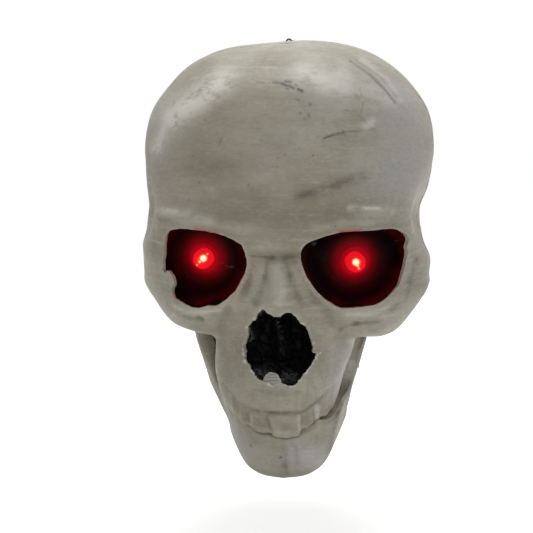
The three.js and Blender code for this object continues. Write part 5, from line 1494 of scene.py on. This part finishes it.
# Puts a camera or a light in the scene, looking from one place at another
def aim(piece, place):
    scene.collection.objects.link(piece)
    piece.location = put(*place["from"])
    piece.rotation_euler = (put(*place["at"]) - piece.location).to_track_quat("-Z", "Y").to_euler()


camera = bpy.data.objects.new("camera", bpy.data.cameras.new("camera"))
aim(camera, view)
camera.data.lens = view["lens"]
camera.data.clip_start = 10 * mm
scene.camera = camera

# Floor, light and white surroundings
studio = {"floor": -45, "size": 6, "ambient": 0.36, "floorGlow": 0.62}


# One for rays that show the surroundings: straight from the camera, mirrored or let through
def seenRays(nodes, links):
    rays = nodes.new("ShaderNodeLightPath")
    mirrored = addNode(nodes, "ShaderNodeMath", operation="MAXIMUM")
    links.new(rays.outputs["Is Glossy Ray"], mirrored.inputs[0])
    links.new(rays.outputs["Is Transmission Ray"], mirrored.inputs[1])
    seen = addNode(nodes, "ShaderNodeMath", operation="MAXIMUM")
    links.new(rays.outputs["Is Camera Ray"], seen.inputs[0])
    links.new(mirrored.outputs[0], seen.inputs[1])
    return seen.outputs[0]


def whiteSurround():
    world = bpy.data.worlds.new("white_room")
    scene.world = world
    world.use_nodes = True
    nodes, links = world.node_tree.nodes, world.node_tree.links
    strength = addNode(nodes, "ShaderNodeMapRange")
    strength.inputs["To Min"].default_value = studio["ambient"]
    links.new(seenRays(nodes, links), strength.inputs["Value"])
    links.new(strength.outputs["Result"], nodes["Background"].inputs["Strength"])
    nodes["Background"].inputs["Color"].default_value = (1, 1, 1, 1)


def paleFloor():
    shape = bmesh.new()
    bmesh.ops.create_grid(shape, x_segments=2, y_segments=2, size=studio["size"] / 2)
    bmesh.ops.translate(shape, verts=shape.verts, vec=Vector((0, 0, put(0, 0, studio["floor"]).z)))
    mesh = bpy.data.meshes.new("floor")
    shape.to_mesh(mesh)
    shape.free()
    floor = bpy.data.objects.new("floor", mesh)
    scene.collection.objects.link(floor)
    material, nodes, links, shader = newMaterial("pale_floor")
    shader.inputs["Base Color"].default_value = (0.93, 0.93, 0.93, 1)
    shader.inputs["Roughness"].default_value = 0.9
    shader.inputs["Emission Color"].default_value = (1, 1, 1, 1)
    glow = addNode(nodes, "ShaderNodeMath", operation="MULTIPLY")
    glow.inputs[1].default_value = studio["floorGlow"]
    links.new(seenRays(nodes, links), glow.inputs[0])
    links.new(glow.outputs[0], shader.inputs["Emission Strength"])
    mesh.materials.append(material)


softLights = {
    "key_light": {"from": (20, 220, 1000), "at": (0, -20, 150), "size": 0.6, "power": 5, "colour": (1, 1, 1)},
    "fill_light": {"from": (480, -920, 90), "at": (0, -20, 80), "size": 0.8, "power": 1.75,
                   "colour": (0.96, 0.98, 1.0)},
}


def softLight(name, place):
    bulb = bpy.data.lights.new(name, "AREA")
    bulb.shape = "DISK"
    bulb.size = place["size"]
    bulb.energy = place["power"]
    bulb.color = place["colour"]
    aim(bpy.data.objects.new(name, bulb), place)


whiteSurround()
paleFloor()
for name, place in softLights.items():
    softLight(name, place)
print("stage set")
